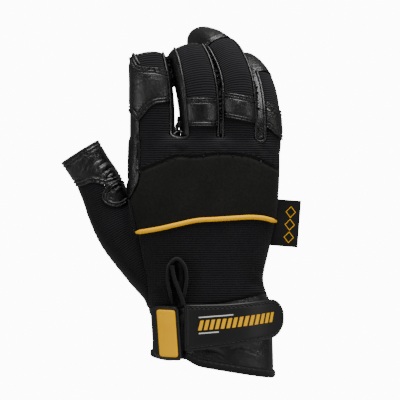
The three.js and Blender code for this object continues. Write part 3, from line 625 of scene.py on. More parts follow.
def off_hand(points):
    """Distance off the hand's own surface, without its fingers."""
    x, y, z = points.T
    middle_x, middle_y, wide, deep = hand_at(z)
    side, back = (x - middle_x) / wide, (y - middle_y) / deep
    reach = (np.abs(side) ** HAND_POWER + np.abs(back) ** HAND_POWER) ** (1 / HAND_POWER)
    return np.maximum((reach - 1) * deep, z - HAND[-1][2] - SHOULDER)


def z_on(seam, x):
    """The height of a seam that runs across, at x."""
    return np.interp(x, *between(seam, np.linspace(0, len(seam) - 1, 240)).T)


def x_on(seam, z):
    """The x of a seam that runs up, at a height."""
    return np.interp(z, *between(seam, np.linspace(0, len(seam) - 1, 240)).T[::-1])


def inside(outline, x, z):
    """Distance inside a closed outline seen from the back of the hand; negative outside."""
    best = np.full(np.shape(x), 1e9)
    odd = np.zeros(np.shape(x), bool)
    for (ax, az), (bx, bz) in zip(outline, outline[1:] + outline[:1]):
        dx, dz = bx - ax, bz - az
        u = np.clip(((x - ax) * dx + (z - az) * dz) / (dx * dx + dz * dz), 0, 1)
        best = np.minimum(best, np.hypot(x - ax - u * dx, z - az - u * dz))
        crosses = (az > z) != (bz > z)
        if dz:
            odd ^= crosses & (x < ax + (z - az) * dx / dz)
    return np.where(odd, best, -best)


class Skin:
    """Triangles on the glove's surface, and measures of each point that every cut carries along."""

    near_zero = 0.08  # no point lies nearer to a cut than this, so that no cut leaves a hair of a triangle
    least_bit = 40  # the fewest triangles that a loose bit may have

    def __init__(self, measures, triangles):
        self.measures = measures
        self.triangles = triangles

    def __getitem__(self, name):
        return self.measures[name]

    def split(self, value):
        """The skin where a value is over zero, and the rest, cut along the line where it is zero."""
        value = np.where(value >= 0, np.maximum(value, self.near_zero), np.minimum(value, -self.near_zero))
        over = value > 0
        count = over[self.triangles].sum(1)
        mixed = self.triangles[(count == 1) | (count == 2)]
        lone_over = over[mixed].sum(1) == 1
        lone = (over[mixed] == lone_over[:, None]).argmax(1)
        mixed = np.take_along_axis(mixed, (lone[:, None] + [0, 1, 2]) % 3, axis=1)
        edges = np.sort(np.concatenate([mixed[:, [0, 1]], mixed[:, [0, 2]]]), axis=1)
        edges, place = np.unique(edges, axis=0, return_inverse=True)
        place = place.ravel()
        a, b = edges.T
        share = value[a] / (value[a] - value[b])
        measures = {}
        for key, m in self.measures.items():
            measures[key] = np.concatenate([m, m[a] + share * (m[b] - m[a])])
        first, second = len(value) + place[:len(mixed)], len(value) + place[len(mixed):]
        tip = np.stack([mixed[:, 0], first, second], axis=1)
        rest = np.stack([np.stack([first, mixed[:, 1], mixed[:, 2]], axis=1),
                         np.stack([first, mixed[:, 2], second], axis=1)], axis=1)
        within = [self.triangles[count == 3], tip[lone_over], rest[~lone_over].reshape(-1, 3)]
        without = [self.triangles[count == 0], tip[~lone_over], rest[lone_over].reshape(-1, 3)]
        return Skin(measures, np.concatenate(within)), Skin(measures, np.concatenate(without))

    def without_bits(self):
        """The same skin without the loose slivers that two cuts along one seam leave between them."""
        label = np.arange(len(self["x"]))
        while True:
            low = label[self.triangles].min(1)
            lower = label.copy()
            np.minimum.at(lower, self.triangles.ravel(), np.repeat(low, 3))
            lower = lower[lower]
            if (lower == label).all():
                break
            label = lower
        owner = label[self.triangles[:, 0]]
        size = np.bincount(owner, minlength=len(label))
        return Skin(self.measures, self.triangles[size[owner] >= self.least_bit])

    def trimmed(self):
        """The same skin without the points that no triangle uses."""
        used, triangles = np.unique(self.triangles, return_inverse=True)
        return Skin({key: m[used] for key, m in self.measures.items()}, triangles.reshape(-1, 3))

    def points(self):
        return np.stack([self["x"], self["y"], self["z"]], axis=1)


def build_form():
    """The glove filled by a hand, as one smooth mesh over all its sections."""
    shape = bmesh.new()
    loft(shape, hand_rings())
    for name in FINGERS:
        loft(shape, finger_rings(name))
    obj = from_bmesh("glove_form", shape)
    apply_modifier(obj, "REMESH", mode="VOXEL", voxel_size=bpy.context.scene.glove_sizes.mesh)
    apply_modifier(obj, "SMOOTH", factor=0.5, iterations=FORM_TURNS)
    knuckles = obj.vertex_groups.new(name="knuckles")
    points = read_points(obj.data)
    facing = smoothstep(np.abs(read_normals(obj.data)[:, 1]), 0.3, 0.7)
    z = points[:, 2]
    weight = facing * smoothstep(z, *KNUCKLES_Z[:2]) * (1 - smoothstep(z, *KNUCKLES_Z[2:]))
    root = np.abs(locate(FINGERS["thumb"], points)[3] - off_hand(points))
    near_root = (1 - smoothstep(root, *ROOT_OFF)) * (1 - smoothstep(z, *ROOT_Z))
    weight = np.maximum(weight, ROOT_SHARE * near_root)
    for k in np.nonzero(weight > 0.01)[0]:
        knuckles.add([int(k)], float(weight[k]), "REPLACE")
    apply_modifier(obj, "SMOOTH", factor=0.5, iterations=KNUCKLE_TURNS, vertex_group="knuckles")
    return obj


def crease_depth(points, facing, creases):
    """How far a table's creases sink each point; each has a soft shoulder on both sides."""
    x, _, z = points.T
    depth = np.zeros(len(points))
    for x0, z0, x1, z1, wide, deep in creases:
        length = math.hypot(x1 - x0, z1 - z0)
        along = ((x - x0) * (x1 - x0) + (z - z0) * (z1 - z0)) / length
        bow = 0.12 * length * np.sin(np.pi * np.clip(along / length, 0, 1))
        off = ((x - x0) * (z1 - z0) - (z - z0) * (x1 - x0)) / length + bow
        fade = np.sin(np.pi * np.clip(along / length, 0, 1)) ** 0.7
        shoulder = bump_at(np.abs(off), 1.9 * wide, wide)
        depth += deep * fade * (bump_at(off, 0, wide) - 0.5 * shoulder)
    return depth * smoothstep(facing, 0.2, 0.65)


def pucker_depth(points, normals):
    """The knit's small tucks just above the knuckle seam."""
    x, _, z = points.T
    above = z - z_on(KNUCKLE_SEAM, x)
    tucks = np.sin(2 * np.pi * x / PUCKER_PITCH + 1.4 * np.sin(x / 7.0))
    fade = smoothstep(above, 0, 1.6) * np.exp(-(above / PUCKER_REACH) ** 2)
    return PUCKER_DEEP * tucks * fade * smoothstep(-normals[:, 1], 0.2, 0.7)


@cache
def skin():
    """The form's surface, with its creases and tucks, and each point's place on every finger."""
    obj = build_form()
    triangles = read_triangles(obj.data)
    points = read_points(obj.data)
    measures = {"x": points[:, 0], "y": points[:, 1], "z": points[:, 2]}
    for name, rows in FINGERS.items():
        for key, value in zip(("row", "side", "back", "off"), locate(rows, points)):
            measures[name + "_" + key] = value
    normals = read_normals(obj.data)
    depth = crease_depth(points, -normals[:, 1], CREASES)
    depth += crease_depth(points, normals[:, 1], PALM_CREASES)
    points = points - normals * (depth + pucker_depth(points, normals))[:, None]
    measures.update(zip("xyz", points.T))
    bpy.data.objects.remove(obj)
    return Skin(measures, triangles)


@cache
def surface():
    """The whole skin as a search tree, in millimetres."""
    return BVHTree.FromPolygons(skin().points().tolist(), skin().triangles.tolist())


def knit_region(s):
    """Over zero on the knit of the knuckles and the fingers' backs."""
    hand = np.minimum.reduce([
        s["z"] - z_on(KNUCKLE_SEAM, s["x"]), SIDE_SEAM_Y - s["y"], s["x"] - x_on(PALM_EDGE, s["z"]),
        KNIT_TOP + KNIT_TOP_SLOPE * s["x"] - s["z"],
    ])
    regions = [hand]
    for name, (left, right, low) in KNIT_EDGES.items():
        wide, deep = FINGERS[name][1][3:]
        regions.append(np.minimum.reduce([
            (s[name + "_side"] - left) * wide, (right - s[name + "_side"]) * wide,
            (s[name + "_back"] - low) * deep, s["z"] - CROTCH[name] + KNIT_BELOW,
            KNIT_OFF - s[name + "_off"],
        ]))
    return np.maximum.reduce(regions)


def nearer(s, name):
    """How much nearer a point lies to one finger than to the others."""
    return np.minimum.reduce([s[other + "_off"] for other in FINGERS if other != name]) - s[name + "_off"]


def hem_z(x, y):
    """Height of the hem: it slants, and rises in a round corner beside the slit in the back."""
    corner = CORNER_RISE * bump_at(x, SLIT_X, CORNER_WIDTH)
    return HEM_Z + HEM_SLOPE * x + corner * smoothstep(-y, 4, 12)


def open_skin():
    """The skin with its finger ends, its hem and its slit cut."""
    rest = skin()
    rest = rest.split(rest["z"] - hem_z(rest["x"], rest["y"]))[0]
    for name in ("index", "middle", "thumb"):
        past = (rest[name + "_row"] - len(FINGERS[name]) + 1) * OPEN_ROW
        rest = rest.split(np.minimum(past, nearer(rest, name)))[1]
    return rest.split(np.minimum(inside(SLIT, rest["x"], rest["z"]), -rest["y"]))[1]


@cache
def pieces():
    """The skin in its sewn pieces, by node."""
    rest = open_skin()
    cut = {}

    def take(node_name, value):
        nonlocal rest
        cut[node_name], rest = rest.split(value)

    s = rest
    on_back = smoothstep(-s["y"], 0, CUFF_TURN)
    cuff_top = z_on(CUFF_SEAM, s["x"]) * on_back + CUFF_PALM_Z * (1 - on_back)
    take("cuff_leather", cuff_top - s["z"])
    s = rest
    take("thumb_leather", np.minimum(s["z"] - z_on(THUMB_TIP_EDGE, s["x"]), nearer(s, "thumb")))
    for name, start in CLOSED_FROM.items():
        take(name + "_cap", np.minimum((rest[name + "_row"] - start) * CAP_ROW, nearer(rest, name)))
    take("back_knit_upper", knit_region(rest))
    s = rest
    take("back_panel", np.minimum.reduce([
        s["z"] - z_on(PIPING_SEAM, s["x"]), z_on(KNUCKLE_SEAM, s["x"]) - s["z"], SIDE_SEAM_Y - s["y"],
        s["x"] - x_on(PALM_EDGE, s["z"]),
    ]))
    s = rest
    take("back_knit_lower", np.minimum.reduce([
        z_on(PIPING_SEAM, s["x"]) - s["z"], SIDE_SEAM_Y - s["y"], s["x"] - x_on(THUMB_SEAM, s["z"]),
    ]))
    s = rest
    left = np.select(
        [s["z"] < THUMB_SEAM[-1][1], s["z"] < THUMB_SIDE[2][1]],
        [x_on(THUMB_SEAM, s["z"]), x_on(PALM_EDGE, s["z"])],
        np.interp(s["z"], [p[1] for p in THUMB_SIDE], [p[0] for p in THUMB_SIDE]))
    on_thumb = [left - s["x"], s["thumb_back"] * THUMB_DEEP, THUMB_NEAR - s["thumb_off"]]
    take("thumb_knit", np.minimum.reduce(on_thumb))
    rest = rest.without_bits().trimmed()
    rest.measures["edge"] = edge_distance(rest.triangles, rest.points())
    for name in KNIT_EDGES:
        take(name + "_sheath", np.minimum(rest["z"] - CROTCH[name], nearer(rest, name)))
    cut["palm_leather"] = rest
    return {node_name: piece.without_bits().trimmed() for node_name, piece in cut.items()}


def arc_at(name, row):
    """Length along a finger's middle line, counted from its first section."""
    t = np.linspace(0, len(FINGERS[name]) + 1, 400)
    line = between(FINGERS[name], np.minimum(t, len(FINGERS[name]) - 1))[:, :3]
    step = np.linalg.norm(np.diff(line, axis=0), axis=1)
    return np.interp(row, t[1:], np.cumsum(step))


def cloth_on_finger(s, name):
    """Cloth coordinates in millimetres: across and along a finger."""
    first = FINGERS[name][0]
    wide = FINGERS[name][1][3]
    return first[0] + s[name + "_side"] * wide, first[2] + arc_at(name, s[name + "_row"])


def cloth_on_hand(s):
    """Cloth coordinates in millimetres: across, and along the hand into whichever finger is nearest."""
    across, along = s["x"].copy(), s["z"].copy()
    fingers = list(KNIT_EDGES)
    nearest = np.argmin([s[name + "_off"] for name in fingers], axis=0)
    blend = smoothstep(s["z"], 140, 160)
    for k, name in enumerate(fingers):
        u, v = cloth_on_finger(s, name)
        here = nearest == k
        across[here] += ((u - s["x"]) * blend)[here]
        along[here] += ((v - s["z"]) * blend)[here]
    return across, along


# The panels: the piece's name, its slot, which way its cloth runs, how proud it stands, how deep its edge
# turns in, and how far behind its edge rows of sewing press it in.
PANELS = {
    "palm_leather": ("leather_palm", "black_leather", "hand", 0.3, 0.7, (2.3,)),
    "back_knit_upper": ("ribbed_knuckles", "ribbed_knit", "hand", 0.0, 0.9, ()),
    "back_panel": ("smooth_back", "smooth_cloth", "hand", 0.1, 1.0, ()),
    "back_knit_lower": ("ribbed_back", "ribbed_knit", "hand", 0.0, 0.9, ()),
    "thumb_knit": ("ribbed_thumb", "ribbed_knit", "thumb", 0.0, 0.5, ()),
    "thumb_leather": ("leather_thumb_tip", "black_leather", "thumb", 0.6, 0.35, (1.7, 4.0)),
    "index_sheath": ("leather_index", "black_leather", "index", 0.3, 0.3, ()),
    "middle_sheath": ("leather_middle", "black_leather", "middle", 0.3, 0.3, ()),
    "ring_sheath": ("leather_ring", "black_leather", "ring", 0.3, 0.3, ()),
    "pinky_sheath": ("leather_pinky", "black_leather", "pinky", 0.3, 0.3, ()),
    "ring_cap": ("leather_ring_tip", "black_leather", "ring", 0.4, 0.4, (2.1,)),
    "pinky_cap": ("leather_pinky_tip", "black_leather", "pinky", 0.4, 0.4, (2.1,)),
    "cuff_leather": ("leather_cuff", "black_leather", "hand", 0.1, 0.5, (4.6,)),
}


def cloth_mesh(name, part, cloth):
    """A mesh of one piece of the skin, with cloth coordinates in millimetres as its UV map."""
    mesh = bpy.data.meshes.new(name)
    mesh.from_pydata((part.points() * MM).tolist(), [], part.triangles.tolist())
    across, along = cloth_on_hand(part) if cloth == "hand" else cloth_on_finger(part, cloth)
    corners = part.triangles.ravel()
    uv = mesh.uv_layers.new(name="cloth")
    uv.data.foreach_set("uv", np.stack([across[corners], along[corners]], axis=1).ravel())
    mesh.validate()
    return link_new(name, mesh)


def edge_distance(triangles, points):
    """Each point's distance in millimetres from the mesh's open edge."""
    edges = np.sort(triangles[:, [0, 1, 1, 2, 2, 0]].reshape(-1, 2), axis=1)
    edges, count = np.unique(edges, axis=0, return_counts=True)
    rim = np.unique(edges[count == 1])
    tree = KDTree(len(rim))
    for k in rim:
        tree.insert(points[k], int(k))
    tree.balance()
    return np.array([tree.find(point)[2] for point in points])


def push_out(obj, amount):
    """Moves each point of a mesh along its normal by an amount in millimetres."""
    mesh = obj.data
    points = read_points(mesh) + read_normals(mesh) * np.asarray(amount)[:, None]
    mesh.vertices.foreach_set("co", (points * MM).ravel())
    mesh.update()


def bump_at(distance, centre, width):
    """A round bump of height 1 at a distance."""
    return np.exp(-((distance - centre) / width) ** 2)


# A row of sewing dents the leather and swells it behind the dent, by these heights. For a panel and a patch:
# how far behind the dent the swelling is, and how wide the swelling and the dent are.
SWELL, DENT = 0.32, 0.55
PANEL_SEWING = (1.1, 0.6, 0.5)
PATCH_SEWING = (0.9, 0.5, 0.45)
PANEL_TURN_WIDE = 1.1


def sewn_in(distance, rows, sewing):
    """How far rows of sewing lift the leather, by the distance from the edge they follow."""
    behind, swell_wide, dent_wide = sewing
    amount = np.zeros(len(distance))
    for row in rows:
        amount += SWELL * bump_at(distance, row - behind, swell_wide)
        amount -= DENT * bump_at(distance, row, dent_wide)
    return amount


def sew_panel(node_name):
    """A panel of the skin with its edge turned in, its rows of sewing, a wall and a lining."""
    name, slot, cloth, proud, turn, rows = PANELS[node_name]
    part = pieces()[node_name]
    obj = cloth_mesh(name, part, cloth)
    away = part.measures.get("edge")
    if away is None:
        away = edge_distance(part.triangles, part.points())
    push_out(obj, proud - turn * bump_at(away, 0, PANEL_TURN_WIDE) + sewn_in(away, rows, PANEL_SEWING))
    obj.data.materials.append(material_of(slot))
    obj.data.materials.append(material_of("lining"))
    apply_modifier(obj, "SOLIDIFY", thickness=bpy.context.scene.glove_sizes.wall, offset=-1,
                   material_offset=1, use_quality_normals=True)
    dress(obj, slot, [node_name])
    return obj


def run_along(points):
    """The length along a line at each of its points."""
    return np.concatenate([[0], np.cumsum(np.linalg.norm(np.diff(points, axis=0), axis=1))])


def at_spots(points, run, spots):
    """The columns of a line's points at other lengths along it."""
    return np.stack([np.interp(spots, run, column) for column in points.T], axis=1)


def tapered(count, least, rows):
    """A scale for each row of a bar: 1 along it, and less over some rows at both ends."""
    ends = np.minimum(np.arange(count), np.arange(count)[::-1])
    return least + (1 - least) * smoothstep(ends, 0, rows)


def grid_faces(rows, columns):
    """The faces of a grid of points listed row by row."""
    return [(i * columns + k, (i + 1) * columns + k, (i + 1) * columns + k + 1, i * columns + k + 1)
            for i in range(rows - 1) for k in range(columns - 1)]


def grid_rim(rows, columns):
    """The edges round such a grid, as pairs of points."""
    rim = [i * columns for i in range(rows)]
    rim += [(rows - 1) * columns + k for k in range(1, columns)]
    rim += [i * columns + columns - 1 for i in range(rows - 2, -1, -1)]
    rim += list(range(columns - 2, 0, -1))
    return list(zip(rim, rim[1:] + rim[:1]))


class Sewing:
    """One mesh that tubes, stitches and flat shapes are added to, in millimetres."""

    def __init__(self):
        self.mesh = bmesh.new()

    def bar(self, path, outs, section, endless=False, scale=None):
        """A bar along a path; its section is a list of offsets across the path and out of the surface."""
        path, outs = np.asarray(path, float), np.asarray(outs, float)
        if endless:
            ahead = unit(np.roll(path, -1, axis=0) - np.roll(path, 1, axis=0))
        else:
            ahead = unit(np.gradient(path, axis=0))
        out = unit(outs - ahead * (outs * ahead).sum(1, keepdims=True))
        across = np.cross(ahead, out)
        scale = np.ones(len(path)) if scale is None else scale
        wide, high = np.asarray(section, float).T
        loft(self.mesh, [path[k] + scale[k] * (np.outer(wide, across[k]) + np.outer(high, out[k]))
                         for k in range(len(path))], endless)

    def stitches(self, path, outs, length=2.3, gap=1.0, thick=0.3, sink=0.05):
        """A row of thread stitches: each one a short bar that dives into the surface at both ends."""
        run = run_along(path)
        count = max(int(run[-1] / (length + gap)), 1)
        pitch = run[-1] / count
        section = round_section(thick, thick * 0.8, 6)
        for k in range(count):
            spots = k * pitch + gap / 2 + (pitch - gap) * np.array([0.0, 0.22, 0.5, 0.78, 1.0])
            normals = unit(at_spots(outs, run, spots))
            lift = np.array([-thick, thick * 0.35, thick * 0.55, thick * 0.35, -thick]) - sink
            self.bar(at_spots(path, run, spots) + normals * lift[:, None], normals, section,
                     scale=[0.75, 1, 1, 1, 0.75])

    def tile(self, place, corners, low, high, steps=5):
        """A thin four-cornered tile between two heights; place maps its lengths and heights to places."""
        share = np.linspace(0, 1, steps)
        a, b = share[:, None, None], share[None, :, None]
        c = np.asarray(corners, float)
        flat = (c[0] * (1 - a) + c[1] * a) * (1 - b) + (c[3] * (1 - a) + c[2] * a) * b
        under, over = [[self.mesh.verts.new(point * MM)
                        for point in place(flat[..., 0], flat[..., 1], out).reshape(-1, 3)]
                       for out in (low, high)]
        for face in grid_faces(steps, steps):
            for layer in (under, over):
                self.mesh.faces.new([layer[k] for k in face])
        for k, n in grid_rim(steps, steps):
            self.mesh.faces.new((under[k], under[n], over[n], over[k]))

    def finish(self, name, slot, nodes=(), material=None, smooth_angle=40):
        obj = from_bmesh(name, self.mesh)
        dress(obj, slot, nodes, material, smooth_angle)
        return obj


def dress(obj, slot, nodes=(), material=None, smooth_angle=40):
    """Shades a finished piece, gives it its material and ties it to the frame."""
    select_only(obj)
    bpy.ops.object.shade_smooth_by_angle(angle=math.radians(smooth_angle))
    if not obj.data.materials:
        obj.data.materials.append(material_of(material or slot))
    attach(obj, "root")
    if nodes:
        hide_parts(*nodes)


def round_section(half_across, half_out, sides, power=2.0):
    return np.stack(super_ring(sides, half_across, half_out, power), axis=1)


def lifted(hits, lift):
    """The places of hits on the skin, lifted by an amount, and the skin's normals there."""
    places = np.array([tuple(hit[0]) for hit in hits])
    normals = unit(smooth_line([tuple(hit[1]) for hit in hits], 2))
    return places + normals * lift, normals


def cling(points, lift=0.0):
    """Points moved to the nearest place on the skin and lifted, and the skin's normals there."""
    return lifted([surface().find_nearest(tuple(point)) for point in points], lift)


def smooth_line(values, times):
    """A line's rows, smoothed some times over with both ends kept."""
    values = np.array(values, float)
    for _ in range(times):
        values[1:-1] = (values[:-2] + 2 * values[1:-1] + values[2:]) / 4
    return values


def drop(x, z):
    """The first hit on the skin from the back of the hand, or a hit without a place."""
    return surface().ray_cast((x, -100.0, z), (0.0, 1.0, 0.0))


def seen(points, lift=0.0):
    """Points given as x and z, dropped on the skin from the back of the hand and lifted."""
    hits = [drop(x, z) for x, z in points]
    return lifted([hit for hit in hits if hit[0] is not None], lift)


def alongside(line, offset, lift, step=0.5):
    """A row on the skin beside a seam line: offset along the surface to the line's left, then lifted."""
    places, normals = seen(evenly(line, step))
    ahead = unit(np.gradient(places, axis=0))
    left = unit(np.cross(ahead, normals)) * -offset
    return cling(smooth_line(places + left, 3), lift)


def curve(points, step=0.12):
    """A smooth line through a table's rows."""
    return between(points, np.arange(0, len(points) - 1 + step / 2, step))


def beside(line, distance):
    """A line seen from the back of the hand, moved to its left by a distance."""
    line = np.asarray(line, float)
    ahead = unit(np.gradient(line, axis=0))
    return line + distance * np.stack([-ahead[:, 1], ahead[:, 0]], axis=1)


def evenly(points, step):
    """The same line with its points a given step apart."""
    points = np.asarray(points, float)
    run = run_along(points)
    return at_spots(points, run, np.linspace(0, run[-1], max(int(run[-1] / step), 2) + 1))


# The index patch's edges over the finger, above and below.
INDEX_TOP_EDGE = INDEX_PATCH[1:6]
INDEX_FOOT_EDGE = INDEX_PATCH[6:13]
# Leather sewn on top: the finger that carries it, and its rows of stitches by their distance from its edge.
PATCHES = {
    "index_patch": ("index", (1.5, 3.4)),
    "thumb_patch": ("thumb", (1.5, 3.3)),
    "middle_band": ("middle", (1.2, 2.9)),
    "ring_band": ("ring", (1.2, 2.9)),
    "pinky_band": ("pinky", (1.2, 2.9)),
}
# How proud a patch stands, how deep and wide its edge turns down, how near its finger's form it stays,
# how far it stops before the welts, and how high its stitches lie.
PATCH_PROUD, PATCH_TURN, PATCH_TURN_WIDE = 1.15, 0.35, 0.5
PATCH_NEAR, WELT_ROOM = 6, 0.6
PATCH_STITCH_LIFT = 0.8
# Where the thumb's patch sinks into the palm's leather: between which z and x, and how proud it is there.
JOIN_Z, JOIN_X, JOIN_PROUD = (119, 129), (-57, -52), 0.25


def patch_outlines():
    """The outline of each patch as seen from the back of the hand."""
    edges = curve(INDEX_TOP_EDGE).tolist() + curve(INDEX_FOOT_EDGE).tolist()
    index = [INDEX_PATCH[0], *edges, INDEX_PATCH[-1]]
    thumb = curve(THUMB_PATCH + THUMB_PATCH[:1]).tolist()[:-1]
    outlines = {"index_patch": index, "thumb_patch": thumb}
    for finger, outline in BANDS.items():
        outlines[finger + "_band"] = outline
    return outlines


def edge_lines():
    """The sewn edges of each patch, as lines with the leather on their right."""
    lines = {
        "index_patch": [curve(INDEX_TOP_EDGE), curve(INDEX_FOOT_EDGE)],
        "thumb_patch": [curve(THUMB_PATCH[THUMB_PATCH_SEWN[0]:THUMB_PATCH_SEWN[1] + 1])[::-1]],
    }
    for finger, outline in BANDS.items():
        a, b, c, d = np.array(outline)
        lines[finger + "_band"] = [np.linspace(a, b, 20), np.linspace(c, d, 20)]
    return lines


def from_lines(lines, x, z):
    """Distance from the nearest of some lines, seen from the back of the hand."""
    spots = np.concatenate([evenly(line, 0.4) for line in lines])
    square = (x[:, None] - spots[:, 0]) ** 2 + (z[:, None] - spots[:, 1]) ** 2
    return np.sqrt(square.min(1))


def sew_patch(node_name, outline):
    """A piece of leather over the skin: its edge is turned down and two rows of sewing press it in."""
    finger, rows = PATCHES[node_name]
    whole = open_skin()
    region = [inside(outline, whole["x"], whole["z"]), PATCH_DEEP[finger] - whole["y"]]
    if finger != "thumb":
        region += [nearer(whole, finger), PATCH_NEAR - np.abs(whole[finger + "_off"])]
    if finger in KNIT_EDGES:
        left, right, _ = KNIT_EDGES[finger]
        wide = FINGERS[finger][2][3]
        if right < 1:
            region.append((right - whole[finger + "_side"]) * wide - WELT_ROOM)
        if finger != "index":
            region.append((whole[finger + "_side"] - left) * wide - WELT_ROOM)
    part = whole.split(np.minimum.reduce(region))[0].trimmed()
    obj = cloth_mesh("leather_" + node_name, part, "hand" if finger == "thumb" else finger)
    select_only(obj)
    bpy.ops.object.mode_set(mode="EDIT")
    bpy.ops.mesh.select_all(action="SELECT")
    bpy.ops.mesh.subdivide(number_cuts=1)
    bpy.ops.object.mode_set(mode="OBJECT")
    points = read_points(obj.data)
    away = edge_distance(read_triangles(obj.data), points)
    edge = from_lines(edge_lines()[node_name], points[:, 0], points[:, 2])
    amount = PATCH_PROUD - PATCH_TURN * bump_at(away, 0, PATCH_TURN_WIDE)
    amount += sewn_in(edge, rows, PATCH_SEWING)
    if finger == "thumb":
        joins = smoothstep(points[:, 2], *JOIN_Z) * smoothstep(points[:, 0], *JOIN_X)
        amount += (JOIN_PROUD - amount) * joins
    push_out(obj, amount)
    apply_modifier(obj, "SOLIDIFY", thickness=bpy.context.scene.glove_sizes.patch, offset=-1)
    dress(obj, "black_leather", [node_name])
    return obj


class GLOVE_OT_patches(bpy.types.Operator):
    """Sew the leather patches and knuckle bands on top of the skin"""

    bl_idname = "glove.patches"
    bl_label = "Patches and bands"

    def execute(self, context):
        for node_name, outline in patch_outlines().items():
            sew_patch(node_name, outline)
        sewing = Sewing()
        for node_name, lines in edge_lines().items():
            for line in lines:
                for row in PATCHES[node_name][1]:
                    sewing.stitches(*alongside(line, -row, PATCH_STITCH_LIFT))
        sewing.finish("patch_stitches", "black_leather", material="thread")
        return {"FINISHED"}


def welt_line(finger, share, step=0.9):
    """Points and normals up a finger along one edge of its knit, from the crotch to the tip."""
    last = CLOSED_FROM.get(finger, len(FINGERS[finger]) - 1) + 0.03
    t = np.linspace(0.5, last, 90)
    centre, ahead, side, back, wide, deep = frames(FINGERS[finger], t)
    up = (1 - abs(share) ** FINGER_POWER) ** (1 / FINGER_POWER)
    points = centre + side * (share * wide)[:, None] + back * (up * deep)[:, None]
    steep = math.copysign(abs(share) ** (FINGER_POWER - 1), share)
    normals = unit(side * (steep / wide)[:, None] + back * (up ** (FINGER_POWER - 1) / deep)[:, None])
    both = np.concatenate([points, normals], axis=1)[points[:, 2] > CROTCH[finger] - 1.5]
    for row in both:
        hit = drop(row[0], row[2])[0]
        if hit is not None and abs(hit.y - row[1]) < WELT_TRUST:
            row[1] = hit.y
    return evenly(both, step)


class GLOVE_OT_welts(bpy.types.Operator):
    """Lay the leather welts along the edges of the fingers' backs and round the crotches"""

    bl_idname = "glove.welts"
    bl_label = "Welts"

    def execute(self, context):
        sewing = Sewing()
        fingers = list(KNIT_EDGES)
        for left, right in zip(fingers, fingers[1:]):
            down = welt_line(left, KNIT_EDGES[left][1])[::-1]
            up = welt_line(right, KNIT_EDGES[right][0])
            foot = (down[-1] + up[0]) / 2 - [0, 0, CROTCH_DROP, 0, 0, 0]
            both = smooth_line(evenly(np.concatenate([down, [foot], up]), 0.9), 8)
            places, normals = both[:, :3], unit(both[:, 3:])
            sewing.bar(places + normals * WELT_LIFT, normals, round_section(*WELT, 12),
                       scale=tapered(len(places), 0.7, 2))
        sewing.finish("finger_welts", "black_leather", smooth_angle=60)
        return {"FINISHED"}


def ring_line(finger, inset, lift, count=72):
    """Points round a finger at a distance before its open end, with the skin's normals there."""
    last = len(FINGERS[finger]) - 1
    spots = np.linspace(0.5, last, 200)
    row = np.interp(arc_at(finger, last) - inset, arc_at(finger, spots), spots)
    centre, ahead, side, back, wide, deep = frames(FINGERS[finger], np.float64(row))
    u, v = super_ring(count, wide, deep, FINGER_POWER)
    ideal = centre + np.outer(u, side) + np.outer(v, back)
    places, normals = cling(ideal)
    own = np.linalg.norm(places - ideal, axis=1) < RING_TRUST
    return places + normals * lift, normals, own


def longest_run(mask):
    """The indexes of the longest unbroken run of true values."""
    runs = np.split(np.arange(len(mask)), np.nonzero(np.diff(mask.astype(int)))[0] + 1)
    return max((run for run in runs if mask[run[0]]), key=len)


class GLOVE_OT_seams(bpy.types.Operator):
    """Sew the rows of stitches beside the seams and round the openings"""

    bl_idname = "glove.seams"
    bl_label = "Seam stitches"

    @staticmethod
    def row(sewing, seam, offset, lift, start, stop):
        line = curve(seam)
        run = line[(line[:, 0] > start) & (line[:, 0] < stop)]
        sewing.stitches(*alongside(run, offset, lift))

    def execute(self, context):
        knuckles = Sewing()
        self.row(knuckles, KNUCKLE_SEAM, *KNUCKLE_ROW)
        knuckles.finish("knuckle_stitches", "ribbed_knit", material="black_tape")
        sewing = Sewing()
        for values in SEAM_ROWS:
            self.row(sewing, *values)
        for finger, inset, lift in RING_ROWS:
            places, normals, own = ring_line(finger, inset, lift)
            front = longest_run(own & (places[:, 1] < RING_ROWS_Y))
            sewing.stitches(places[front], normals[front])
        sewing.finish("seam_stitches", "black_leather", material="thread")
        return {"FINISHED"}


class GLOVE_OT_rims(bpy.types.Operator):
    """Roll the leather over at the openings and leave its trimmed corners in the crotches"""

    bl_idname = "glove.rims"
    bl_label = "Rims and corners"

    def execute(self, context):
        sewing = Sewing()
        places, normals, _ = ring_line("thumb", THUMB_ROLL_IN, THUMB_ROLL_LIFT)
        sewing.bar(places, normals, round_section(THUMB_ROLL, THUMB_ROLL, 12), endless=True)
        places, normals = seen(evenly(curve(ROLLED_CORNER), 0.6), CORNER_LIFT)
        share = np.arange(len(places)) / (len(places) - 1)
        blunt = smoothstep(share, -0.3, 0.12) * (1 - 0.8 * smoothstep(share, 0.4, 1))
        sewing.bar(smooth_line(places, 3), normals, round_section(*CORNER_ROLL, 12), scale=blunt)
        for x, y, z, angle, length, thick in TUFTS:
            ahead = np.array([math.cos(math.radians(angle)), 0, math.sin(math.radians(angle))])
            share = np.linspace(-1, 1, 7)
            bend = np.outer(np.cos(share * 2.2 + x), [0.0, -1.0, 0.0])
            path = np.array([x, y, z]) + np.outer(share * length / 2, ahead) + bend
            sewing.bar(path, np.tile([0.3, -1.0, 0.1], (7, 1)), round_section(thick, thick * 0.55, 10),
                       scale=[0.4, 0.8, 1, 0.85, 1, 0.8, 0.4])
        sewing.finish("leather_rims", "black_leather", smooth_angle=60)
        return {"FINISHED"}


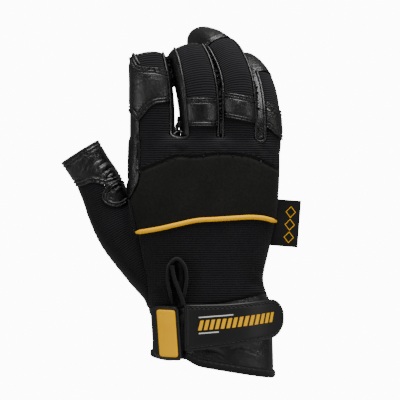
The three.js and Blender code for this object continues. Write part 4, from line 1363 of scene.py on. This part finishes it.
class GLOVE_OT_piping(bpy.types.Operator):
    """Sew the yellow cord in between the smooth panel and the lower knit"""

    bl_idname = "glove.piping"
    bl_label = "Piping"

    def execute(self, context):
        sewing = Sewing()
        places, normals = seen(evenly(curve(PIPING_SEAM), 0.8), PIPE_LIFT)
        sewing.bar(smooth_line(places, 6), normals, round_section(PIPE_RADIUS, PIPE_RADIUS, 16),
                   scale=tapered(len(places), 0.6, 3))
        sewing.finish("yellow_piping_cord", "yellow_piping", ["piping"], smooth_angle=60)
        return {"FINISHED"}


def hem_path(rise, step=0.8):
    """Points round the hem from one side of the slit to the other, at a height over the hem."""
    z = np.zeros(HEM_POINTS)
    for _ in range(HEM_ROUNDS):
        middle_x, middle_y, wide, deep = hand_at(z)
        u, v = super_ring(HEM_POINTS, wide, deep, HAND_POWER)
        x, y = middle_x + u, middle_y + v
        z = hem_z(x, y) + rise
    points = np.stack([x, y, z], axis=1)
    open_at = (y < SLIT_Y) & (inside(SLIT, x, z) > -SLIT_ROOM)
    start = np.nonzero(open_at)[0].max() + 1
    return evenly(np.roll(points, -start, axis=0)[:len(points) - open_at.sum()], step)


class GLOVE_OT_binding(bpy.types.Operator):
    """Roll the tape round the hem and sew it down"""

    bl_idname = "glove.binding"
    bl_label = "Hem binding"

    def execute(self, context):
        sewing = Sewing()
        path = hem_path(BINDING_HIGH / 2)
        places, normals = cling(path, -BINDING_SUNK)
        places[:, 2] = path[:, 2]
        section = round_section(BINDING_HIGH / 2, BINDING_HALF, 18, 2.8)
        sewing.bar(places, unit(normals * [1, 1, 0]), section, scale=tapered(len(places), 0.8, 2))
        sewing.finish("hem_binding", "black_tape", ["cuff_binding"], smooth_angle=60)
        threads = Sewing()
        threads.stitches(*cling(hem_path(HEM_ROW_UP)[2:-2], HEM_ROW_LIFT), length=HEM_STITCH)
        threads.finish("hem_stitches", "black_tape", material="thread")
        return {"FINISHED"}


class Plate:
    """A bent plate round the wrist: maps its own length and height in millimetres to places."""

    def __init__(self, rows, lean=0.0):
        self.rows = np.asarray(rows, float)
        self.lean = lean
        self.t = np.linspace(0, len(rows) - 1, 300)
        self.run = run_along(between(rows, self.t)[:, :2])
        self.length = self.run[-1]

    def row(self, along):
        return np.interp(along, self.run, self.t)

    def height(self, along):
        return between(self.rows, self.row(along))[..., 3]

    def place(self, along, up, out):
        t = self.row(along)
        x, y, middle = np.moveaxis(between(self.rows, t)[..., :3], -1, 0)
        ends = between(self.rows, t + 0.02) - between(self.rows, t - 0.02)
        out_x, out_y = np.moveaxis(unit(np.stack([ends[..., 1], -ends[..., 0]], axis=-1)), -1, 0)
        return np.stack([x + self.lean * up + out_x * out, y + out_y * out, middle + up], axis=-1)


def plate_mesh(name, plate, start, end, half_of, top_of, foot, columns, bands):
    """A slab on a plate: half_of gives its half height at a length, top_of its top at a length and up."""
    share = np.linspace(-1, 1, bands)
    along = start + (end - start) * (0.5 - 0.5 * np.cos(np.linspace(0, math.pi, columns)))
    along = np.repeat(along[:, None], bands, axis=1)
    up = half_of(along) * np.sin(share * math.pi / 2)[None, :]
    shape = bmesh.new()
    over, under = [[shape.verts.new(point * MM) for point in plate.place(along, up, out).reshape(-1, 3)]
                   for out in (top_of(along, up), foot)]
    for face in grid_faces(columns, bands):
        shape.faces.new([over[k] for k in face])
        shape.faces.new([under[k] for k in face[::-1]])
    for k, n in grid_rim(columns, bands):
        shape.faces.new((over[n], over[k], under[k], under[n]))
    return from_bmesh(name, shape)


def slab_half(plate, start, end, trim, corner_start, corner_end):
    """Half height along a slab with rounded ends."""
    def half(along):
        full = plate.height(along) / 2 - trim
        near = np.clip((start + corner_start - along) / corner_start, 0, 1)
        far = np.clip((along - end + corner_end) / corner_end, 0, 1)
        cut_near = corner_start * (1 - np.sqrt(np.maximum(1 - near ** 2, 0)))
        cut_far = np.minimum(corner_end, full) * (1 - np.sqrt(np.maximum(1 - far ** 2, 0)))
        return np.maximum(full - cut_near - cut_far, 0.15)
    return half


def slab_edge(half, start, end):
    """Distance in from a slab's outline."""
    def edge(along, up):
        return np.minimum.reduce([half(along) - np.abs(up), along - start, end - along])
    return edge


class GLOVE_OT_strap(bpy.types.Operator):
    """Bend the strap round the wrist, with its stitched border and its printed bars"""

    bl_idname = "glove.strap"
    bl_label = "Wrist strap"

    def execute(self, context):
        plate = Plate(STRAP)
        end = plate.length
        half = slab_half(plate, 0, end, 0, *STRAP_CORNERS)
        edge = slab_edge(half, 0, end)
        outer = STRAP_FROM + STRAP_THICK

        def top(along, up):
            away = edge(along, up)
            border = 0.25 * (1 - smoothstep(away, 2.6, 3.2))
            groove = 0.3 * bump_at(away, STRAP_STITCHES_IN, 0.5)
            return outer - 0.7 * bump_at(away, 0, 0.7) - groove - border

        strap = plate_mesh("strap_band", plate, 0, end, half, top, STRAP_FROM, 150, 60)
        dress(strap, "black_rubber", ["wrist_strap"], smooth_angle=45)
        threads = Sewing()
        rim = strap_line(plate, half, end, STRAP_STITCHES_IN).T
        places = plate.place(*rim, outer - STITCHES_SUNK)
        threads.stitches(places, unit(plate.place(*rim, outer + 1) - places), length=2.0, gap=0.9)
        threads.finish("strap_stitches", "black_rubber", material="thread")
        bars = Sewing()
        low, high = PRINT_UP - PRINT_HIGH / 2, PRINT_UP + PRINT_HIGH / 2
        layers = (outer - PRINT_SUNK, outer + PRINT_PROUD)
        for k in range(PRINT_BARS):
            start = PRINT_FROM + k * PRINT_PITCH
            stop = start + PRINT_WIDE
            corners = [(start, low), (stop, low), (stop + PRINT_LEAN, high), (start + PRINT_LEAN, high)]
            bars.tile(plate.place, corners, *layers)
        bars.finish("strap_print_bars", "yellow_rubber")
        line = Sewing()
        for start, stop, up in PRINT_LINES:
            corners = [(start, up), (stop, up), (stop, up + PRINT_LINE), (start, up + PRINT_LINE)]
            line.tile(plate.place, corners, *layers, 12)
        line.finish("strap_print_lines", "black_rubber", material="white_print")
        return {"FINISHED"}


def strap_line(plate, half, end, inset):
    """The strap's outline moved in by a distance, along the top edge, round the end and back."""
    along = np.linspace(1.0, end - 0.05, 260)
    edge = np.stack([along, half(along)], axis=1)
    whole = np.concatenate([edge, (edge * [1, -1])[::-1]])
    moved = beside(whole, -inset)
    within = half(moved[:, 0]) - np.abs(moved[:, 1]) > inset * 0.9
    return evenly(moved[within & (moved[:, 0] < end - inset)], 0.5)


class GLOVE_OT_tab(bpy.types.Operator):
    """Set the bare yellow tab in its raised black plate"""

    bl_idname = "glove.tab"
    bl_label = "Tab and plate"

    def execute(self, context):
        plate = Plate(TAB, TAB_LEAN)
        end = plate.length
        half = slab_half(plate, 0, end, 0, *PLATE_CORNERS)
        edge = slab_edge(half, 0, end)
        outer = PLATE_FROM + PLATE_THICK

        def plate_top(along, up):
            away = edge(along, up)
            return outer + 0.35 * bump_at(away, 1.5, 0.7) - 0.6 * bump_at(away, 0, 0.6)

        body = plate_mesh("tab_frame", plate, 0, end, half, plate_top, PLATE_FROM, 60, 80)
        dress(body, "black_rubber", ["tab_plate"], smooth_angle=45)
        start, stop = np.interp([TAB_ROW_FROM, TAB_ROW_TO], plate.t, plate.run)
        tab_half = slab_half(plate, start, stop, TAB_MARGIN, *TAB_CORNERS)
        tab_edge = slab_edge(tab_half, start, stop)

        def tab_top(along, up):
            return TAB_FROM + TAB_THICK - 0.5 * bump_at(tab_edge(along, up), 0, 0.5)

        tab = plate_mesh("yellow_tab", plate, start, stop, tab_half, tab_top, TAB_FROM - TAB_SUNK, 50, 70)
        dress(tab, "yellow_rubber", ["id_tab"], smooth_angle=45)
        return {"FINISHED"}


class GLOVE_OT_loop(bpy.types.Operator):
    """Bend the hanging loop and its inner strand"""

    bl_idname = "glove.loop"
    bl_label = "Hang loop"

    def execute(self, context):
        sewing = Sewing()

        def strand(path, off, turns, section, scale=None):
            x, z = path.T
            places = smooth_line(np.stack([x, seen(path)[0][:, 1] - off, z], axis=1), turns)
            sewing.bar(places, np.tile([0.0, -1.0, 0.0], (len(path), 1)), section, scale=scale)

        path = curve(LOOP_PATH, 0.1)
        standing = smoothstep(path[:, 1] - LOOP_PATH[0][1], 0, LOOP_FOOT)
        away = LOOP_FOOT_OFF + (LOOP_STAND_OFF - LOOP_FOOT_OFF) * standing
        section = round_section(LOOP_THICK / 2, LOOP_RIBBON / 2, 14, 3.0)
        strand(path, away, 6, section, 0.6 + 0.4 * standing)
        for table, off, wide, deep in LOOP_INSIDE:
            strand(curve(table, 0.1), off, 4, round_section(wide, deep, 14, 2.6))
        sewing.finish("hanging_loop", "black_tape", ["hang_loop"], smooth_angle=60)
        return {"FINISHED"}


def label_place(along, up, out):
    """Places on the label from its own length and height, and a distance out of its face."""
    lean = math.radians(LABEL_LEAN)
    x = LABEL_AT[0] + along * math.cos(lean) + up * math.sin(lean)
    z = LABEL_AT[2] - along * math.sin(lean) + up * math.cos(lean)
    bend = 0.5 * np.sin((along + LABEL_REACH / 2) / LABEL_REACH * 2.2) - 0.25 * np.sin(up / 6)
    return np.stack([x, LABEL_AT[1] - bend - out, z], axis=-1)


class GLOVE_OT_label(bpy.types.Operator):
    """Sew the cloth label into the side seam"""

    bl_idname = "glove.label"
    bl_label = "Side label"

    def execute(self, context):
        along = np.linspace(-LABEL_REACH / 2, LABEL_REACH / 2, 48)
        up = np.linspace(-LABEL_HIGH / 2, LABEL_HIGH / 2, 64)
        grid = label_place(*np.meshgrid(along, up, indexing="ij"), 0).reshape(-1, 3)
        mesh = bpy.data.meshes.new("cloth_label")
        mesh.from_pydata((grid * MM).tolist(), [], grid_faces(len(along), len(up)))
        obj = link_new("cloth_label", mesh)
        apply_modifier(obj, "SOLIDIFY", thickness=LABEL_THICK * MM, offset=0)
        dress(obj, "black_tape", ["side_label"])
        pattern = Sewing()
        face = LABEL_THICK / 2
        for middle in LOZENGES:
            tips = np.array([(0, 1), (1, 0), (0, -1), (-1, 0)]) * [LOZENGE_WIDE / 2, LOZENGE_HIGH / 2]
            inner = tips * (1 - LOZENGE_LINE / (LOZENGE_WIDE / 2))
            for k in range(4):
                corners = np.array([tips[k], tips[(k + 1) % 4], inner[(k + 1) % 4], inner[k]]) + middle
                pattern.tile(label_place, corners, face - LOZENGE_SUNK, face + LOZENGE_PROUD)
        threads = pattern.finish("label_pattern", "yellow_piping")
        return {"FINISHED"}


class GLOVE_OT_panels(bpy.types.Operator):
    """Cut the skin along its seams and give each panel its wall"""

    bl_idname = "glove.panels"
    bl_label = "Panels"

    def execute(self, context):
        for node_name in PANELS:
            panel = sew_panel(node_name)
        return {"FINISHED"}


# The stage, in metres: a floor well below the glove, a white world that lights weakly but looks bright to
# the camera, and a camera straight ahead that takes in a given width at the glove.
FLOOR_SIZE, FLOOR_Z = 8, -0.5
WORLD_LIGHT, WORLD_SEEN = 0.22, 12.0
CAMERA_AT = (-0.0078, -1.5, 0.1105)
VIEW_WIDE, SENSOR_WIDE, CLIP_END = 0.26, 36, 20
LIT_PLACE = (0, 0, 0.11)
# Soft lights: name, place, power in watts and width in metres.
LIGHTS = [
    ("left", (-1.15, -0.8, 0.45), 6.8, 0.5),
    ("right", (1.15, -0.8, 0.35), 5.4, 0.5),
    ("top", (0.12, -0.25, 1.35), 28, 0.7),
]


class GLOVE_OT_stage(bpy.types.Operator):
    """Set the floor, the lights and the camera"""

    bl_idname = "glove.stage"
    bl_label = "Stage"

    def execute(self, context):
        bpy.ops.mesh.primitive_plane_add(size=FLOOR_SIZE, location=(0, 0, FLOOR_Z))
        floor = context.active_object
        floor.name = "floor"
        world = bpy.data.worlds.new("pale")
        context.scene.world = world
        world.use_nodes = True
        tree = world.node_tree
        tree.nodes.clear()
        soft = node(tree, "Background", Color=(1, 1, 1, 1), Strength=WORLD_LIGHT)
        paper = node(tree, "Background", Color=(1, 1, 1, 1), Strength=WORLD_SEEN)
        seen_by_eye = node(tree, "LightPath").outputs["Is Camera Ray"]
        both = node(tree, "MixShader", s0=seen_by_eye, s1=soft.outputs[0], s2=paper.outputs[0])
        node(tree, "OutputWorld", Surface=both.outputs[0])
        for name, place, energy, size in LIGHTS:
            bpy.ops.object.light_add(type="AREA", location=place)
            light = context.active_object
            light.name = name
            light.data.energy = energy
            light.data.size = size
            aim = Vector(LIT_PLACE) - light.location
            light.rotation_euler = aim.to_track_quat("-Z", "Y").to_euler()
        bpy.ops.object.camera_add(location=CAMERA_AT, rotation=(math.radians(90), 0, 0))
        camera = context.active_object
        camera.data.sensor_width = SENSOR_WIDE
        camera.data.lens = SENSOR_WIDE * -CAMERA_AT[1] / VIEW_WIDE
        camera.data.clip_end = CLIP_END
        context.scene.camera = camera
        return {"FINISHED"}


class GLOVE_PT_build(bpy.types.Panel):
    """Builds the glove piece by piece"""

    bl_idname = "GLOVE_PT_build"
    bl_label = "Framer Glove"
    bl_space_type = "VIEW_3D"
    bl_region_type = "UI"
    bl_category = "Glove"

    def draw(self, context):
        layout = self.layout
        for group in (context.scene.glove_sizes, context.scene.glove_colours):
            box = layout.box()
            for name in group.__annotations__:
                box.prop(group, name)
        for step in STEPS:
            layout.operator("glove." + step)


STEPS = (
    "panels", "patches", "welts", "seams", "rims", "piping", "binding", "strap", "tab", "loop", "label",
    "stage",
)
CLASSES = (
    GloveSizes, GloveColours, GLOVE_OT_panels, GLOVE_OT_patches, GLOVE_OT_welts, GLOVE_OT_seams,
    GLOVE_OT_rims, GLOVE_OT_piping, GLOVE_OT_binding, GLOVE_OT_strap, GLOVE_OT_tab, GLOVE_OT_loop,
    GLOVE_OT_label, GLOVE_OT_stage, GLOVE_PT_build,
)


def register():
    for made_class in CLASSES:
        bpy.utils.register_class(made_class)
    bpy.types.Scene.glove_sizes = PointerProperty(type=GloveSizes)
    bpy.types.Scene.glove_colours = PointerProperty(type=GloveColours)


def unregister():
    del bpy.types.Scene.glove_colours
    del bpy.types.Scene.glove_sizes
    for made_class in reversed(CLASSES):
        bpy.utils.unregister_class(made_class)


def main():
    register()
    for step in STEPS:
        getattr(bpy.ops.glove, step)()


if __name__ == "__main__":
    main()
